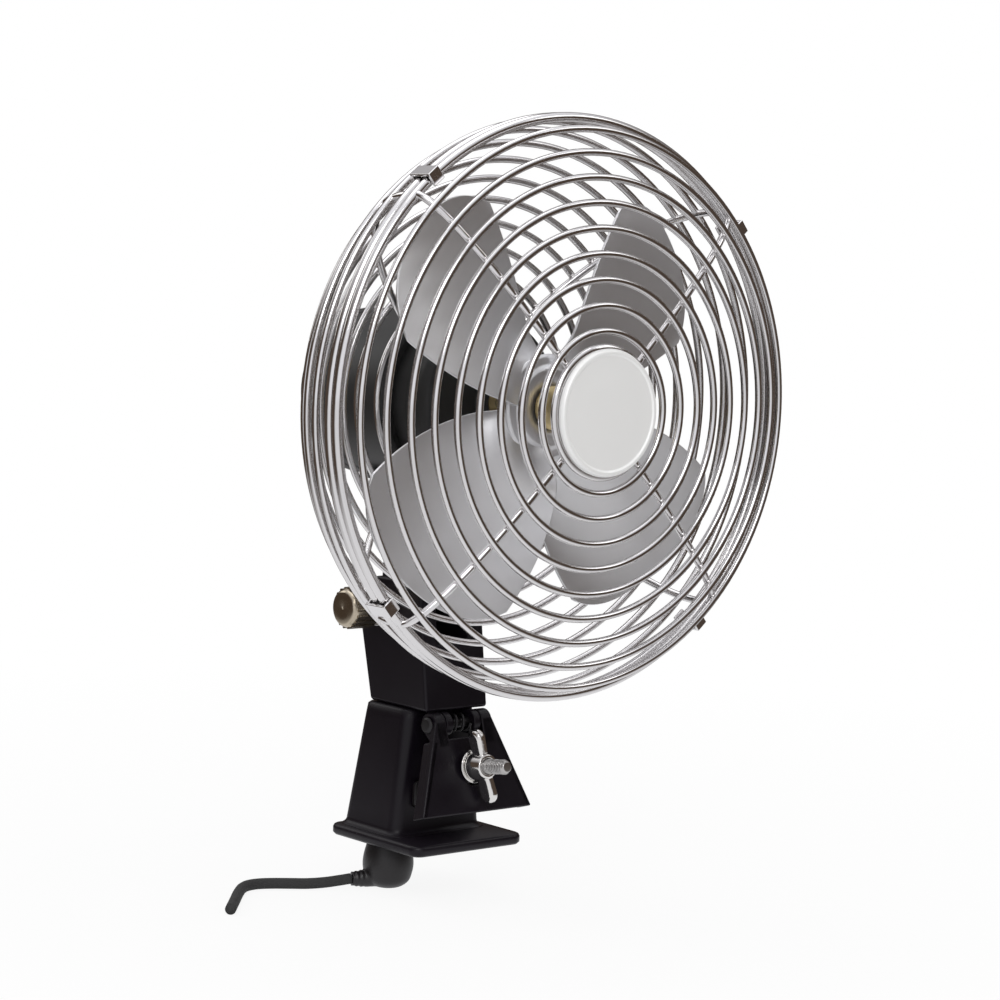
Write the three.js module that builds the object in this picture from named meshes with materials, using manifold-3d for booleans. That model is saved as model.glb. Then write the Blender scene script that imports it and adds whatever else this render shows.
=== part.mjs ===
// Clip fan: a small vehicle fan with a domed wire guard, a four-blade pressed wheel,
// a low-voltage motor, a tilting and turning neck and a two-jaw screw clamp.
//
// Millimetres. +Z is up, the fan blows towards -Y, and X runs across the fan.
// The origin is the middle of the fixed jaw's pad face, where the clamped edge rests.

import * as THREE from 'three';
import { mergeVertices } from 'three/addons/utils/BufferGeometryUtils.js';
import Module from 'manifold-3d';

const wasm = await Module();
wasm.setup();

// ---------------------------------------------------------------- driving dimensions

const GAP = 0.3;                 // clearance between pieces that touch
const RUNNING = 0.1;             // clearance between turned pieces that fit closely
const THROUGH = 150;             // reach of a cut that goes right through

// clamp body and foot
const PAD_THICK = 2;             // rubber pads on both jaws
const PAD_TALL = 9;
const PAD_WIDE = 24;
const BODY_TOP_Z = 28;           // seam between the clamp body and the neck
const BODY_TOP_HALF_X = 14.6;
const BODY_FOOT_HALF_X = 18.5;
const BODY_TOP_BACK_Y = 26.5;
const BODY_FOOT_BACK_Y = 31;
const BODY_WALL = 2.6;
const BODY_ROOF = 9;             // thickness of the top that carries the swivel post
const FOOT_TOP_Z = -13.4;
const FOOT_THICK = 3.6;
const FOOT_HALF_X = 23;
const FOOT_FRONT_Y = -14.7;
const FOOT_BACK_Y = 32.4;
const FOOT_CORNER_R = 4;

// moving jaw and its hinge
const JAW_HINGE_Y = -5;
const JAW_HINGE_Z = 24;
const JAW_SLANT = 17;            // degrees forward of upright when open
const JAW_THICK = 2.4;
const JAW_LIP = 3.2;             // depth of the stiffening side lips
const JAW_LENGTH = 30;           // hinge axis to the lower edge
const JAW_TOP_HALF_X = 11.8;
const JAW_FOOT_HALF_X = 23;
const KNUCKLE_R = 4;
const KNUCKLE_INNER_X = 4.4;     // the body's two knuckles, inner face
const KNUCKLE_OUTER_X = 7.2;
const PIN_R = 1.6;
const PIN_HEAD_R = 2.8;
const PIN_HEAD_THICK = 1.2;
const SPRING_R = 2.7;            // middle of the coil's wire
const SPRING_WIRE_R = 0.5;
const SPRING_TURNS = 2.5;
const SPRING_LONG_LEG = 12;
const SPRING_SHORT_LEG = 4.6;

// clamp screw
const BOLT_R = 2.4;
const BOLT_TILT = 8;             // degrees, front end up
const BOLT_AT_JAW_Z = 11;
const BOLT_TIP_Y = -31.5;
const BOLT_HEAD_R = 5;
const BOLT_HEAD_THICK = 2.6;
const BOLT_SEAT_OUT = 0.8;       // how much wider than the head its seat is
const BOLT_SEAT_DEEP = 5;
const BOLT_SEAT_PROUD = 2.6;     // the seat's middle ahead of the body's back
const JAW_SLOT_EXTRA = 3.4;      // how much taller than wide the jaw's bolt slot is
const BOLT_CLEAR = 0.5;
const WASHER_R = 5.6;
const WASHER_THICK = 1;
const WASHER_CONE = 0.8;         // the washer's conical underside
const WASHER_FLAT = 0.9;         // width of the flat round the washer's hole
const WASHER_LIFT = 0.35;        // keeps the cone clear of the slanted jaw
const NUT_HUB_R = 4.8;
const NUT_HUB_LONG = 6.5;
const WING_SPAN = 25;
const WING_TALL = 6.4;           // along the bolt
const WING_THICK = 3.4;
const WING_LEAN = 0.4;           // how far a wing's tip leans away from the jaw
const WING_TURN = 102;           // degrees from level at which the nut rests

// neck
const SWIVEL_Y = 11.7;
const POST_R = 5;
const POST_LONG = 13;
const POST_CLIP_WIDE = 1.5;
const POST_CLIP_THICK = 1.2;
const NECK_HALF_X = 13;
const NECK_FRONT_Y = -5;
const NECK_BACK_Y = 25;
const TILT_Y = 22;
const TILT_Z = 60;
const NECK_TOP_R = 10;
const NECK_TOP_FRONT_Y = 0;      // front of the ears
const NECK_SHOULDER = 5;         // round of the ears' front corner
const TILT_BOLT_R = 2.5;
const TILT_HEAD_TALL = 3.4;
const TILT_WASHER_R = 6.5;
const TILT_WASHER_THICK = 1;
const KNOB_R = 6.8;
const KNOB_LONG = 13.5;
const KNOB_RIDGES = 16;
const LUG_HALF_X = 6;
const LUG_R = 8.5;
const LUG_PLAY = 0.4;            // side play of the lug between the neck's ears
const LUG_WAIST = 6.8;           // half depth of the lug halfway up
const SADDLE_LONG = 20;          // the lug's seat along the motor
const SADDLE_HALF_X = 15;
const SADDLE_THICK = 2.3;
const SADDLE_DROP = 9;           // from the motor's lowest line down to the lug's waist
const SADDLE_RISE = 11;          // how far the saddle climbs the motor's sides

// fan head
const FAN_Y = -54;               // plane of the widest guard ring
const FAN_Z = 130;
const GUARD_R = 90;
const DOME_TALL = 16;            // front of the guard ahead of its widest ring
const CAGE_DEEP = 55;            // back of the guard behind it
const CAGE_CURVE = 2.05;         // how square the back of the cage is: 2 is round
const DOME_CURVE = 2.6;          // how flat the guard's front is: 2 is round
const WIRE_R = 1;
const RIM_WIRE_R = 1.6;
const FRONT_RINGS = 9;
const REAR_RINGS = 9;
const SPOKES = 4;
const SPOKE_R = 1.2;
const SPOKE_BITE = 0.4;          // how deep the rings sit in a spoke, of its radius
const RING_STEPS = 30;
const WIRE_SIDES = 4;
const BADGE_R = 20.2;
const BADGE_THICK = 1.6;
const PLATE_THICK = 1.2;
const CLIP_THICK = 1;
const CLIP_WIDE = 4.5;
const CLIP_ASIDE = 5;            // degrees from a spoke to the clip beside it

// wheel
const WHEEL_TO_RIM = 15;         // from the wheel's tips out to the rim
const WHEEL_Y = 10;              // behind the widest ring
const BLADES = 4;
const BLADE_ROOT_R = 12;
const BLADE_THICK = 1;
const BLADE_ROOT_ANGLE = 43;     // half angles, degrees
const BLADE_TIP_ANGLE = 27;
const BLADE_ROOT_PITCH = 34;
const BLADE_TIP_PITCH = 15;
const BLADE_CAMBER = 3;
const BLADE_CORNER = 9;          // how far a tip's corners are rounded in
const WHEEL_DISC_R = 17;
const WHEEL_DISC_THICK = 1.6;
const HUB_R = 7;
const HUB_LONG = 12;
const HUB_NOSE = 3;              // hub ahead of the wheel's disc
const HUB_BORE_R = 3.85;         // the hub where it passes the wheel's disc
const SHAFT_R = 2;
const SET_SCREW_R = 1.4;

// motor
const MOTOR_R = 28;
const MOTOR_WALL = 1.8;
const MOTOR_FRONT_Y = 36;        // behind the widest ring
const MOTOR_BACK_Y = 106;
const CAP_DEEP = 10;
const CAP_ROUND = 5;
const MAGNET_THICK = 5;
const MAGNET_LONG = 40;
const MAGNET_HALF_ANGLE = 62;      // degrees
const STACK_R = 18;
const STACK_LONG = 34;
const STACK_POLES = 5;
const STACK_SLOT = 4;
const COMMUTATOR_R = 6;
const COMMUTATOR_LONG = 9;
const COMMUTATOR_AFTER = 2;      // behind the stack
const BRUSH_WIDE = 4;
const BRUSH_TALL = 7;
const BUSH_R = 5;
const BUSH_LONG = 6;
const FLANGE_R = 35;
const FLANGE_THICK = 2;
const VENTS = 6;
const VENT_HALF_X = 1.5;
const NOSE_LONG = 3;             // bearing noses ahead of the motor's front
const NOSE_WALL = 1.5;
const CAP_WALL = 2.4;

// lead
const CORD_R = 1.8;
const GLAND_X = -10;
const GLAND_Y = 16;
const GLAND_R = 8.6;
const GLAND_TALL = 16.1;
const GLAND_NECK_R = 4.6;
const GLAND_NECK_TALL = 6;
const GLAND_NOSE_LONG = 4;
const FLOOR_Z = FOOT_TOP_Z - FOOT_THICK - GLAND_TALL - GAP;

const CORD_TURN = 70;            // degrees from +Y towards -X at which the lead leaves

/** The lead's route and lift on the surface the gland touches, chosen by eye. */
const CORD_ROUTE = [
  [-22.2, 20.4, 1.3], [-26.2, 21.9, 0.8], [-30.6, 23.8, 0.3], [-35.4, 26.4, 0],
  [-40.4, 29.6, 0], [-45.2, 32.6, 0], [-49.8, 34.4, 0], [-54.2, 34.0, 0],
  [-58.0, 31.6, 0], [-61.6, 28.0, 0], [-65.2, 24.0, 0], [-69.0, 19.6, 0],
  [-73.2, 14.8, 0], [-77.4, 10.0, 0],
];

// ---------------------------------------------------------------- places that follow

const RAD = Math.PI / 180;
const BODY_FRONT_Y = PAD_THICK + GAP;
const FOOT_BOTTOM_Z = FOOT_TOP_Z - FOOT_THICK;
const JAW_FACE = KNUCKLE_R;      // the jaw's outer face stands this far ahead of its hinge
const POST_TOP_Z = BODY_TOP_Z + GAP;
const WHEEL_R = GUARD_R - WHEEL_TO_RIM;
const RIM_PITCH = 2 * RIM_WIRE_R + GAP;   // from the front rim's middle to the rear rim's
const SPOKE_IN = 3;              // how far a spoke runs under the plate it ends on
const MOTOR_MID_Y = (MOTOR_FRONT_Y + MOTOR_BACK_Y - CAP_DEEP) / 2;
const STACK_BACK_Y = MOTOR_MID_Y + STACK_LONG / 2;
const SPOKE_BEHIND = WIRE_R + SPOKE_R * (1 - SPOKE_BITE);

// where the bolt's axis meets the jaw's outer face when the jaw is open
const boltAtJawY = JAW_HINGE_Y - (JAW_HINGE_Z - BOLT_AT_JAW_Z) * Math.tan(JAW_SLANT * RAD)
  - JAW_FACE / Math.cos(JAW_SLANT * RAD);
// from there back along the bolt to the seat of its head, just proud of the body's back
const backAtBoltY = BODY_TOP_BACK_Y + (BODY_FOOT_BACK_Y - BODY_TOP_BACK_Y)
  * (BODY_TOP_Z - BOLT_AT_JAW_Z) / (BODY_TOP_Z - FOOT_TOP_Z);
const BOLT_SEAT = (backAtBoltY - boltAtJawY) / Math.cos(BOLT_TILT * RAD)
  + BOLT_SEAT_PROUD;

// ---------------------------------------------------------------- materials

const finish = (color, roughness, metalness) => () =>
  new THREE.MeshStandardMaterial({ color, roughness, metalness });
const blackPlastic = finish(0x141317, 0.45, 0.0);
const chrome = finish(0xc9c7c6, 0.18, 1.0);
const steel = finish(0x9c9a96, 0.35, 1.0);
const aluminium = finish(0xd0cfd2, 0.3, 1.0);
const brass = finish(0xb08f4f, 0.35, 1.0);
const rubber = finish(0x1b1a1c, 0.8, 0.0);
const enamel = finish(0xf4f4f2, 0.35, 0.0);
const magnet = finish(0x2b2a2c, 0.7, 0.2);
const carbon = finish(0x222222, 0.7, 0.3);

// ---------------------------------------------------------------- helpers

/** A closed indexed geometry of positions only, with its faces pointing out. */
function closed(geometry) {
  const bare = geometry.clone();
  for (const name of ['normal', 'uv', 'uv1']) bare.deleteAttribute(name);
  const merged = mergeVertices(bare, 1e-4);
  const p = merged.attributes.position;
  const index = Array.from(merged.index.array);
  const keep = [];
  let volume = 0;
  const a = new THREE.Vector3(), b = new THREE.Vector3(), c = new THREE.Vector3();
  for (let i = 0; i < index.length; i += 3) {
    const [i0, i1, i2] = index.slice(i, i + 3);
    if (i0 === i1 || i1 === i2 || i2 === i0) continue;
    a.fromBufferAttribute(p, i0);
    b.fromBufferAttribute(p, i1);
    c.fromBufferAttribute(p, i2);
    volume += a.dot(b.cross(c));
    keep.push(i0, i1, i2);
  }
  if (volume < 0) {
    for (let i = 0; i < keep.length; i += 3) [keep[i], keep[i + 1]] = [keep[i + 1], keep[i]];
  }
  merged.setIndex(keep);
  return merged;
}

/** A manifold solid made of a three.js geometry. */
function solid(geometry) {
  const g = closed(geometry);
  return new wasm.Manifold(new wasm.Mesh({
    numProp: 3,
    vertProperties: new Float32Array(g.attributes.position.array),
    triVerts: new Uint32Array(g.index.array),
  }));
}

/** A three.js geometry made of a manifold solid. */
function shape(body) {
  const m = body.getMesh();
  const g = new THREE.BufferGeometry();
  g.setAttribute('position', new THREE.BufferAttribute(new Float32Array(m.vertProperties), 3));
  g.setIndex(new THREE.BufferAttribute(new Uint32Array(m.triVerts), 1));
  return g;
}

/** A named mesh of a geometry or a solid. */
function piece(name, form, material) {
  const geometry = form.isBufferGeometry ? closed(form) : shape(form);
  const mesh = new THREE.Mesh(geometry, material());
  mesh.name = name;
  return mesh;
}

function join(...solids) {
  return solids.reduce((all, next) => all.add(next));
}

/** A round bar along X, Y or Z from one station to another. */
function bar(axis, r, from, to, at = [0, 0], sides = 24) {
  const g = new THREE.CylinderGeometry(r, r, to - from, sides);
  const middle = (from + to) / 2;
  if (axis === 'x') g.rotateZ(Math.PI / 2).translate(middle, at[0], at[1]);
  if (axis === 'y') g.translate(at[0], middle, at[1]);
  if (axis === 'z') g.rotateX(Math.PI / 2).translate(at[0], at[1], middle);
  return g;
}

/** A box between two corners. */
function block(low, high) {
  const g = new THREE.BoxGeometry(high[0] - low[0], high[1] - low[1], high[2] - low[2]);
  return g.translate((low[0] + high[0]) / 2, (low[1] + high[1]) / 2, (low[2] + high[2]) / 2);
}

/** A solid of revolution about Y from points of radius and y. */
function turned(points, sides = 40) {
  return new THREE.LatheGeometry(points.map(([r, y]) => new THREE.Vector2(r, y)), sides);
}

/** A ring of revolution about Y with a rectangular section. */
function ringSection(inner, outer, y0, y1, sides = 40) {
  return turned([[inner, y0], [outer, y0], [outer, y1], [inner, y1], [inner, y0]], sides);
}

/** An outline in the Y-Z plane given width along X. */
function acrossX(outline, halfX, curveSegments = 8) {
  const g = new THREE.ExtrudeGeometry(outline, {
    depth: 2 * halfX, bevelEnabled: false, curveSegments,
  });
  // shape x -> Y, shape y -> Z, extrusion -> X
  g.applyMatrix4(new THREE.Matrix4().makeBasis(
    new THREE.Vector3(0, 1, 0), new THREE.Vector3(0, 0, 1), new THREE.Vector3(1, 0, 0)));
  return g.translate(-halfX, 0, 0);
}

/** An outline in the X-Z plane given depth along Y from y0 to y1. */
function alongY(outline, y0, y1, curveSegments = 8) {
  const g = new THREE.ExtrudeGeometry(outline, {
    depth: y1 - y0, bevelEnabled: false, curveSegments,
  });
  return g.rotateX(Math.PI / 2).translate(0, y1, 0);
}

/** A polygon outline. */
function outlineOf(points) {
  return new THREE.Shape(points.map(([x, y]) => new THREE.Vector2(x, y)));
}

/** A rectangle with round corners, in the plane of a Shape. */
function roundedRect(x0, y0, x1, y1, r) {
  const s = new THREE.Shape();
  s.moveTo(x0 + r, y0);
  s.lineTo(x1 - r, y0);
  s.absarc(x1 - r, y0 + r, r, -Math.PI / 2, 0);
  s.lineTo(x1, y1 - r);
  s.absarc(x1 - r, y1 - r, r, 0, Math.PI / 2);
  s.lineTo(x0 + r, y1);
  s.absarc(x0 + r, y1 - r, r, Math.PI / 2, Math.PI);
  s.lineTo(x0, y0 + r);
  s.absarc(x0 + r, y0 + r, r, Math.PI, 1.5 * Math.PI);
  return s;
}

/** A plate lying in the X-Y plane between two heights. */
function plate(outline, z0, z1, curveSegments = 6) {
  const g = new THREE.ExtrudeGeometry(outline, {
    depth: z1 - z0, bevelEnabled: false, curveSegments,
  });
  return g.translate(0, 0, z0);
}

/** A tapered block: a rectangle at the top that grows to another at the bottom. */
function taper(top, bottom) {
  const g = new THREE.BoxGeometry(1, 1, 1);
  const p = g.attributes.position;
  for (let i = 0; i < p.count; i += 1) {
    const end = p.getZ(i) > 0 ? top : bottom;
    const x = p.getX(i) > 0 ? end.halfX : -end.halfX;
    const y = p.getY(i) > 0 ? end.backY : end.frontY;
    p.setXYZ(i, x, y, end.z);
  }
  return g;
}

/** A wire of round section along a curve. */
function wire(curve, r, steps, sides = WIRE_SIDES) {
  const section = new THREE.Shape();
  for (let i = 0; i < sides; i += 1) {
    const a = 2 * Math.PI * i / sides;
    const [x, y] = [r * Math.cos(a), r * Math.sin(a)];
    if (i === 0) section.moveTo(x, y);
    else section.lineTo(x, y);
  }
  return new THREE.ExtrudeGeometry(section, { steps, extrudePath: curve, bevelEnabled: false });
}

/** A ring of wire about Y. */
function wireRing(radius, y, r = WIRE_R) {
  const g = new THREE.TorusGeometry(radius, r, WIRE_SIDES, RING_STEPS);
  return g.rotateX(Math.PI / 2).translate(0, y, 0);
}

/** How far the guard's front stands ahead of its widest ring at a radius. */
function domeAt(radius) {
  return DOME_TALL * (1 - (radius / GUARD_R) ** DOME_CURVE) ** (1 / DOME_CURVE)
    / (1 - (BADGE_R / GUARD_R) ** DOME_CURVE) ** (1 / DOME_CURVE);
}

/** How far the cage's back lies behind the widest ring at a radius. */
function cageAt(radius) {
  return CAGE_DEEP * (1 - (radius / GUARD_R) ** CAGE_CURVE) ** (1 / CAGE_CURVE);
}

/** Evenly spaced places along a side of the guard, from its rim inwards: radius and depth. */
function ringStations(depthAt, innerR, count) {
  const profile = new THREE.Path();
  const fine = 120;
  for (let i = 0; i <= fine; i += 1) {
    const r = innerR + (GUARD_R - innerR) * Math.cos((i / fine) * Math.PI / 2);
    if (i === 0) profile.moveTo(GUARD_R, 0);
    else profile.lineTo(r, depthAt(r));
  }
  const points = profile.getSpacedPoints(count + 1);
  return points.slice(1, count + 1).map((p) => [p.x, p.y]);
}

// ---------------------------------------------------------------- clamp

/** Lays a shape made about Y on the bolt's axis, with y = 0 at the open jaw's outer face. */
function onBolt(geometry) {
  return geometry.rotateX(-BOLT_TILT * RAD).translate(0, boltAtJawY, BOLT_AT_JAW_Z);
}

function clampBody() {
  const top = { halfX: BODY_TOP_HALF_X, frontY: BODY_FRONT_Y, backY: BODY_TOP_BACK_Y,
    z: BODY_TOP_Z };
  const bottom = { halfX: BODY_FOOT_HALF_X, frontY: BODY_FRONT_Y, backY: BODY_FOOT_BACK_Y,
    z: FOOT_TOP_Z };
  let body = solid(taper(top, bottom));
  const roofZ = BODY_TOP_Z - BODY_ROOF;
  const inside = (end, z) => ({ halfX: end.halfX - BODY_WALL, frontY: end.frontY + BODY_WALL,
    backY: end.backY - BODY_WALL, z });
  body = body.subtract(solid(taper(inside(top, roofZ), inside(bottom, FOOT_TOP_Z + 0.01))));
  // foot plate, with a round hole for the lead
  const foot = plate(roundedRect(-FOOT_HALF_X, FOOT_FRONT_Y, FOOT_HALF_X, FOOT_BACK_Y,
    FOOT_CORNER_R), FOOT_BOTTOM_Z, FOOT_TOP_Z + 0.01);
  body = body.add(solid(foot));
  body = body.subtract(solid(bar('z', GLAND_NECK_R + GAP, FOOT_BOTTOM_Z - 1,
    FOOT_BOTTOM_Z + GLAND_NECK_TALL + GAP, [GLAND_X, GLAND_Y])));
  // two knuckles for the jaw's pin
  for (const side of [-1, 1]) {
    const [x0, x1] = [KNUCKLE_INNER_X, KNUCKLE_OUTER_X].map((x) => x * side).sort((a, b) => a - b);
    const arm = block([x0, JAW_HINGE_Y, JAW_HINGE_Z - KNUCKLE_R],
      [x1, BODY_FRONT_Y + 1, JAW_HINGE_Z + KNUCKLE_R]);
    body = join(body, solid(arm),
      solid(bar('x', KNUCKLE_R, x0, x1, [JAW_HINGE_Y, JAW_HINGE_Z], 20)));
  }
  body = body.subtract(solid(bar('x', PIN_R + RUNNING, -BODY_TOP_HALF_X, BODY_TOP_HALF_X,
    [JAW_HINGE_Y, JAW_HINGE_Z])));
  // socket of the swivel post
  body = body.subtract(solid(bar('z', POST_R + GAP, roofZ - 1, BODY_TOP_Z + 1, [0, SWIVEL_Y])));
  // flat seat for the bolt's head, square to the bolt, and the bolt's clearance
  body = body.add(solid(onBolt(bar('y', BOLT_HEAD_R + BOLT_SEAT_OUT, BOLT_SEAT - BOLT_SEAT_DEEP,
    BOLT_SEAT))));
  return body.subtract(solid(onBolt(bar('y', BOLT_R + GAP, -1, BOLT_SEAT + 1))));
}

function jawOutline() {
  return outlineOf([
    [-JAW_TOP_HALF_X, KNUCKLE_R * 0.2], [-JAW_FOOT_HALF_X, -JAW_LENGTH],
    [JAW_FOOT_HALF_X, -JAW_LENGTH], [JAW_TOP_HALF_X, KNUCKLE_R * 0.2],
  ]);
}

/** The jaw's own frame: hinge at the origin, plate hanging straight down. */
function jawPlace(geometry) {
  return geometry.rotateX(-JAW_SLANT * RAD).translate(0, JAW_HINGE_Y, JAW_HINGE_Z);
}

function frontJaw() {
  const inner = -JAW_FACE + JAW_THICK;
  let jaw = solid(alongY(jawOutline(), -JAW_FACE, inner));
  // side lips that follow the slanted edges
  const flare = (JAW_FOOT_HALF_X - JAW_TOP_HALF_X) / JAW_LENGTH;
  const edge = (z) => JAW_TOP_HALF_X - z * flare;
  for (const side of [-1, 1]) {
    const lip = outlineOf([[-KNUCKLE_R * 1.4, 1], [-JAW_LENGTH, 1], [-JAW_LENGTH, 0],
      [-KNUCKLE_R * 1.4, 0]].map(([z, k]) => [side * (edge(z) - k * JAW_THICK), z]));
    jaw = jaw.add(solid(alongY(lip, -JAW_FACE, inner + JAW_LIP)));
    // ear round the pin
    const [x0, x1] = [KNUCKLE_OUTER_X + GAP, JAW_TOP_HALF_X].map((x) => x * side)
      .sort((a, b) => a - b);
    jaw = join(jaw, solid(bar('x', KNUCKLE_R, x0, x1, [0, 0], 20)),
      solid(block([x0, -JAW_FACE, -KNUCKLE_R * 2], [x1, 0, 0])));
  }
  // clear of the body's knuckles and the spring
  jaw = jaw.subtract(solid(block([-KNUCKLE_OUTER_X - GAP, -JAW_FACE - 1, -KNUCKLE_R - GAP * 4],
    [KNUCKLE_OUTER_X + GAP, KNUCKLE_R, KNUCKLE_R])));
  jaw = jaw.subtract(solid(bar('x', PIN_R + RUNNING, -JAW_FOOT_HALF_X, JAW_FOOT_HALF_X)));
  for (const side of [-1, 1]) {
    const [x0, x1] = [JAW_TOP_HALF_X, JAW_FOOT_HALF_X].map((x) => x * side).sort((a, b) => a - b);
    jaw = jaw.subtract(solid(bar('x', PIN_HEAD_R + GAP, x0, x1)));
  }
  // bolt slot, taller than wide
  const slotR = BOLT_R + BOLT_CLEAR;
  const slotZ = -(JAW_HINGE_Z - BOLT_AT_JAW_Z) / Math.cos(JAW_SLANT * RAD)
    + JAW_FACE * Math.tan(JAW_SLANT * RAD) * -1;
  const slot = roundedRect(-slotR, slotZ - slotR - JAW_SLOT_EXTRA, slotR,
    slotZ + slotR + JAW_SLOT_EXTRA * 0.4, slotR * 0.98);
  jaw = jaw.subtract(solid(alongY(slot, -JAW_FACE - 1, inner + 1)));
  return jawPlace(shape(jaw));
}

function frontPad() {
  const y0 = -JAW_FACE + JAW_THICK + GAP;
  const g = alongY(roundedRect(-PAD_WIDE / 2, -JAW_LENGTH + 1, PAD_WIDE / 2,
    -JAW_LENGTH + 1 + PAD_TALL, 2), y0, y0 + PAD_THICK, 3);
  return jawPlace(g);
}

function rearPad() {
  return alongY(roundedRect(-PAD_WIDE / 2, -PAD_TALL / 2, PAD_WIDE / 2, PAD_TALL / 2, 2),
    0, PAD_THICK, 3);
}

function jawPin() {
  const end = JAW_TOP_HALF_X + GAP;
  const at = [JAW_HINGE_Y, JAW_HINGE_Z];
  return join(solid(bar('x', PIN_R, -end - 0.5, end + 0.5, at)),
    solid(bar('x', PIN_HEAD_R, -end - PIN_HEAD_THICK, -end, at)),
    solid(bar('x', PIN_HEAD_R, end, end + PIN_HEAD_THICK, at)));
}

/** A torsion spring round the pin: a long leg on the body, a short one on the jaw. */
function jawSpring() {
  const halfX = KNUCKLE_INNER_X - SPRING_WIRE_R - GAP;
  const perTurn = 12;
  const last = SPRING_TURNS * perTurn;
  const points = [new THREE.Vector3(-halfX, SPRING_R, -SPRING_LONG_LEG)];
  for (let i = 0; i <= last; i += 1) {
    const a = 2 * Math.PI * i / perTurn;
    points.push(new THREE.Vector3(-halfX + 2 * halfX * i / last,
      SPRING_R * Math.cos(a), SPRING_R * Math.sin(a)));
  }
  points.push(new THREE.Vector3(halfX, -SPRING_R, -SPRING_SHORT_LEG));
  const curve = new THREE.CatmullRomCurve3(points, false, 'centripetal');
  return wire(curve, SPRING_WIRE_R, 44, 4).translate(0, JAW_HINGE_Y, JAW_HINGE_Z);
}

function clampBolt() {
  const headFrom = BOLT_SEAT + GAP;
  return onBolt(shape(join(
    solid(bar('y', BOLT_R, BOLT_TIP_Y - boltAtJawY, headFrom + 1, [0, 0], 20)),
    solid(turned([[0, headFrom], [BOLT_HEAD_R, headFrom],
      [BOLT_HEAD_R * 0.8, headFrom + BOLT_HEAD_THICK * 0.7],
      [BOLT_HEAD_R * 0.4, headFrom + BOLT_HEAD_THICK], [0, headFrom + BOLT_HEAD_THICK]], 20)))));
}

function nutWasher() {
  const hole = BOLT_R + RUNNING * 2;
  const seat = -GAP - WASHER_LIFT;
  const front = -GAP - WASHER_THICK - WASHER_CONE;
  return onBolt(turned([
    [hole, seat], [hole + WASHER_FLAT, seat], [WASHER_R, seat - WASHER_CONE],
    [WASHER_R, front], [hole, front], [hole, seat],
  ], 24));
}

function wingNut() {
  const near = -GAP * 2 - WASHER_THICK - WASHER_CONE;
  const far = near - NUT_HUB_LONG;
  const hub = turned([[0, near], [NUT_HUB_R, near], [NUT_HUB_R, near - NUT_HUB_LONG * 0.35],
    [NUT_HUB_R * 0.78, far], [0, far]], 20);
  let nut = solid(hub);
  for (const side of [-1, 1]) {
    // a wing leans away from the jaw as it goes out
    const s = new THREE.Shape();
    const rootX = NUT_HUB_R * 0.6;
    const tipX = WING_SPAN / 2;
    const r = WING_TALL / 2;
    const out = near - WING_LEAN;
    s.moveTo(rootX, near - GAP);
    s.lineTo(tipX - r, out);
    s.absarc(tipX - r, out - r, r, Math.PI / 2, -Math.PI / 2, true);
    s.lineTo(rootX, far + GAP);
    const g = new THREE.ExtrudeGeometry(s, { depth: WING_THICK, bevelEnabled: false,
      curveSegments: 8 });
    g.translate(0, 0, -WING_THICK / 2);
    if (side < 0) g.rotateY(Math.PI);
    nut = nut.add(solid(g));
  }
  nut = nut.subtract(solid(bar('y', BOLT_R + RUNNING, far - 1, near + 1)));
  // at rest the wings point up and down
  return onBolt(shape(nut).rotateY(WING_TURN * RAD));
}

// ---------------------------------------------------------------- lead

function cordGland() {
  const top = FOOT_BOTTOM_Z + GLAND_NECK_TALL;
  const under = FOOT_BOTTOM_Z - GAP;
  const low = FLOOR_Z;
  const mid = (under + low) / 2;
  const r = GLAND_R;
  // profile of radius and height, later turned upright
  const bulb = turned([[0, low], [r * 0.55, low], [r * 0.86, low + 2.2], [r, mid - 1],
    [r * 0.96, mid + 2.5], [r * 0.78, under], [GLAND_NECK_R, under], [GLAND_NECK_R, top],
    [0, top]], 24);
  bulb.rotateX(Math.PI / 2).translate(GLAND_X, GLAND_Y, 0);
  const nose = bar('y', CORD_R + 1.2, 0, r + GLAND_NOSE_LONG, [0, 0], 16);
  nose.rotateZ(CORD_TURN * RAD).translate(GLAND_X, GLAND_Y, low + CORD_R + 1.2);
  return join(solid(bulb), solid(nose));
}

function cord() {
  const points = CORD_ROUTE.map(([x, y, lift]) =>
    new THREE.Vector3(x, y, FLOOR_Z + CORD_R + lift));
  return wire(new THREE.CatmullRomCurve3(points, false, 'centripetal'), CORD_R, 26, 8);
}

// ---------------------------------------------------------------- neck

function neckOutline() {
  const shoulderY = NECK_TOP_FRONT_Y + NECK_SHOULDER;
  const top = TILT_Z + NECK_TOP_R;
  const s = new THREE.Shape();
  s.moveTo(NECK_FRONT_Y, POST_TOP_Z);
  s.lineTo(NECK_BACK_Y, POST_TOP_Z);
  s.lineTo(TILT_Y + NECK_TOP_R, TILT_Z - NECK_TOP_R / 2);
  s.lineTo(TILT_Y + NECK_TOP_R, TILT_Z);
  s.absarc(TILT_Y, TILT_Z, NECK_TOP_R, 0, Math.PI / 2);
  s.lineTo(shoulderY, top);
  s.absarc(shoulderY, top - NECK_SHOULDER, NECK_SHOULDER, Math.PI / 2, Math.PI);
  return s;
}

function neck() {
  let body = solid(acrossX(neckOutline(), NECK_HALF_X, 14));
  body = body.add(solid(bar('z', POST_R, POST_TOP_Z - POST_LONG, POST_TOP_Z + 1,
    [0, SWIVEL_Y], 28)));
  // slot between the two ears, deep enough for the lug
  const slotHalf = LUG_HALF_X + LUG_PLAY;
  const slotLow = TILT_Z - LUG_R - 1.5;
  body = body.subtract(solid(block([-slotHalf, -THROUGH, slotLow],
    [slotHalf, THROUGH, THROUGH])));
  return body.subtract(solid(bar('x', TILT_BOLT_R + GAP, -THROUGH, THROUGH, [TILT_Y, TILT_Z])));
}

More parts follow.
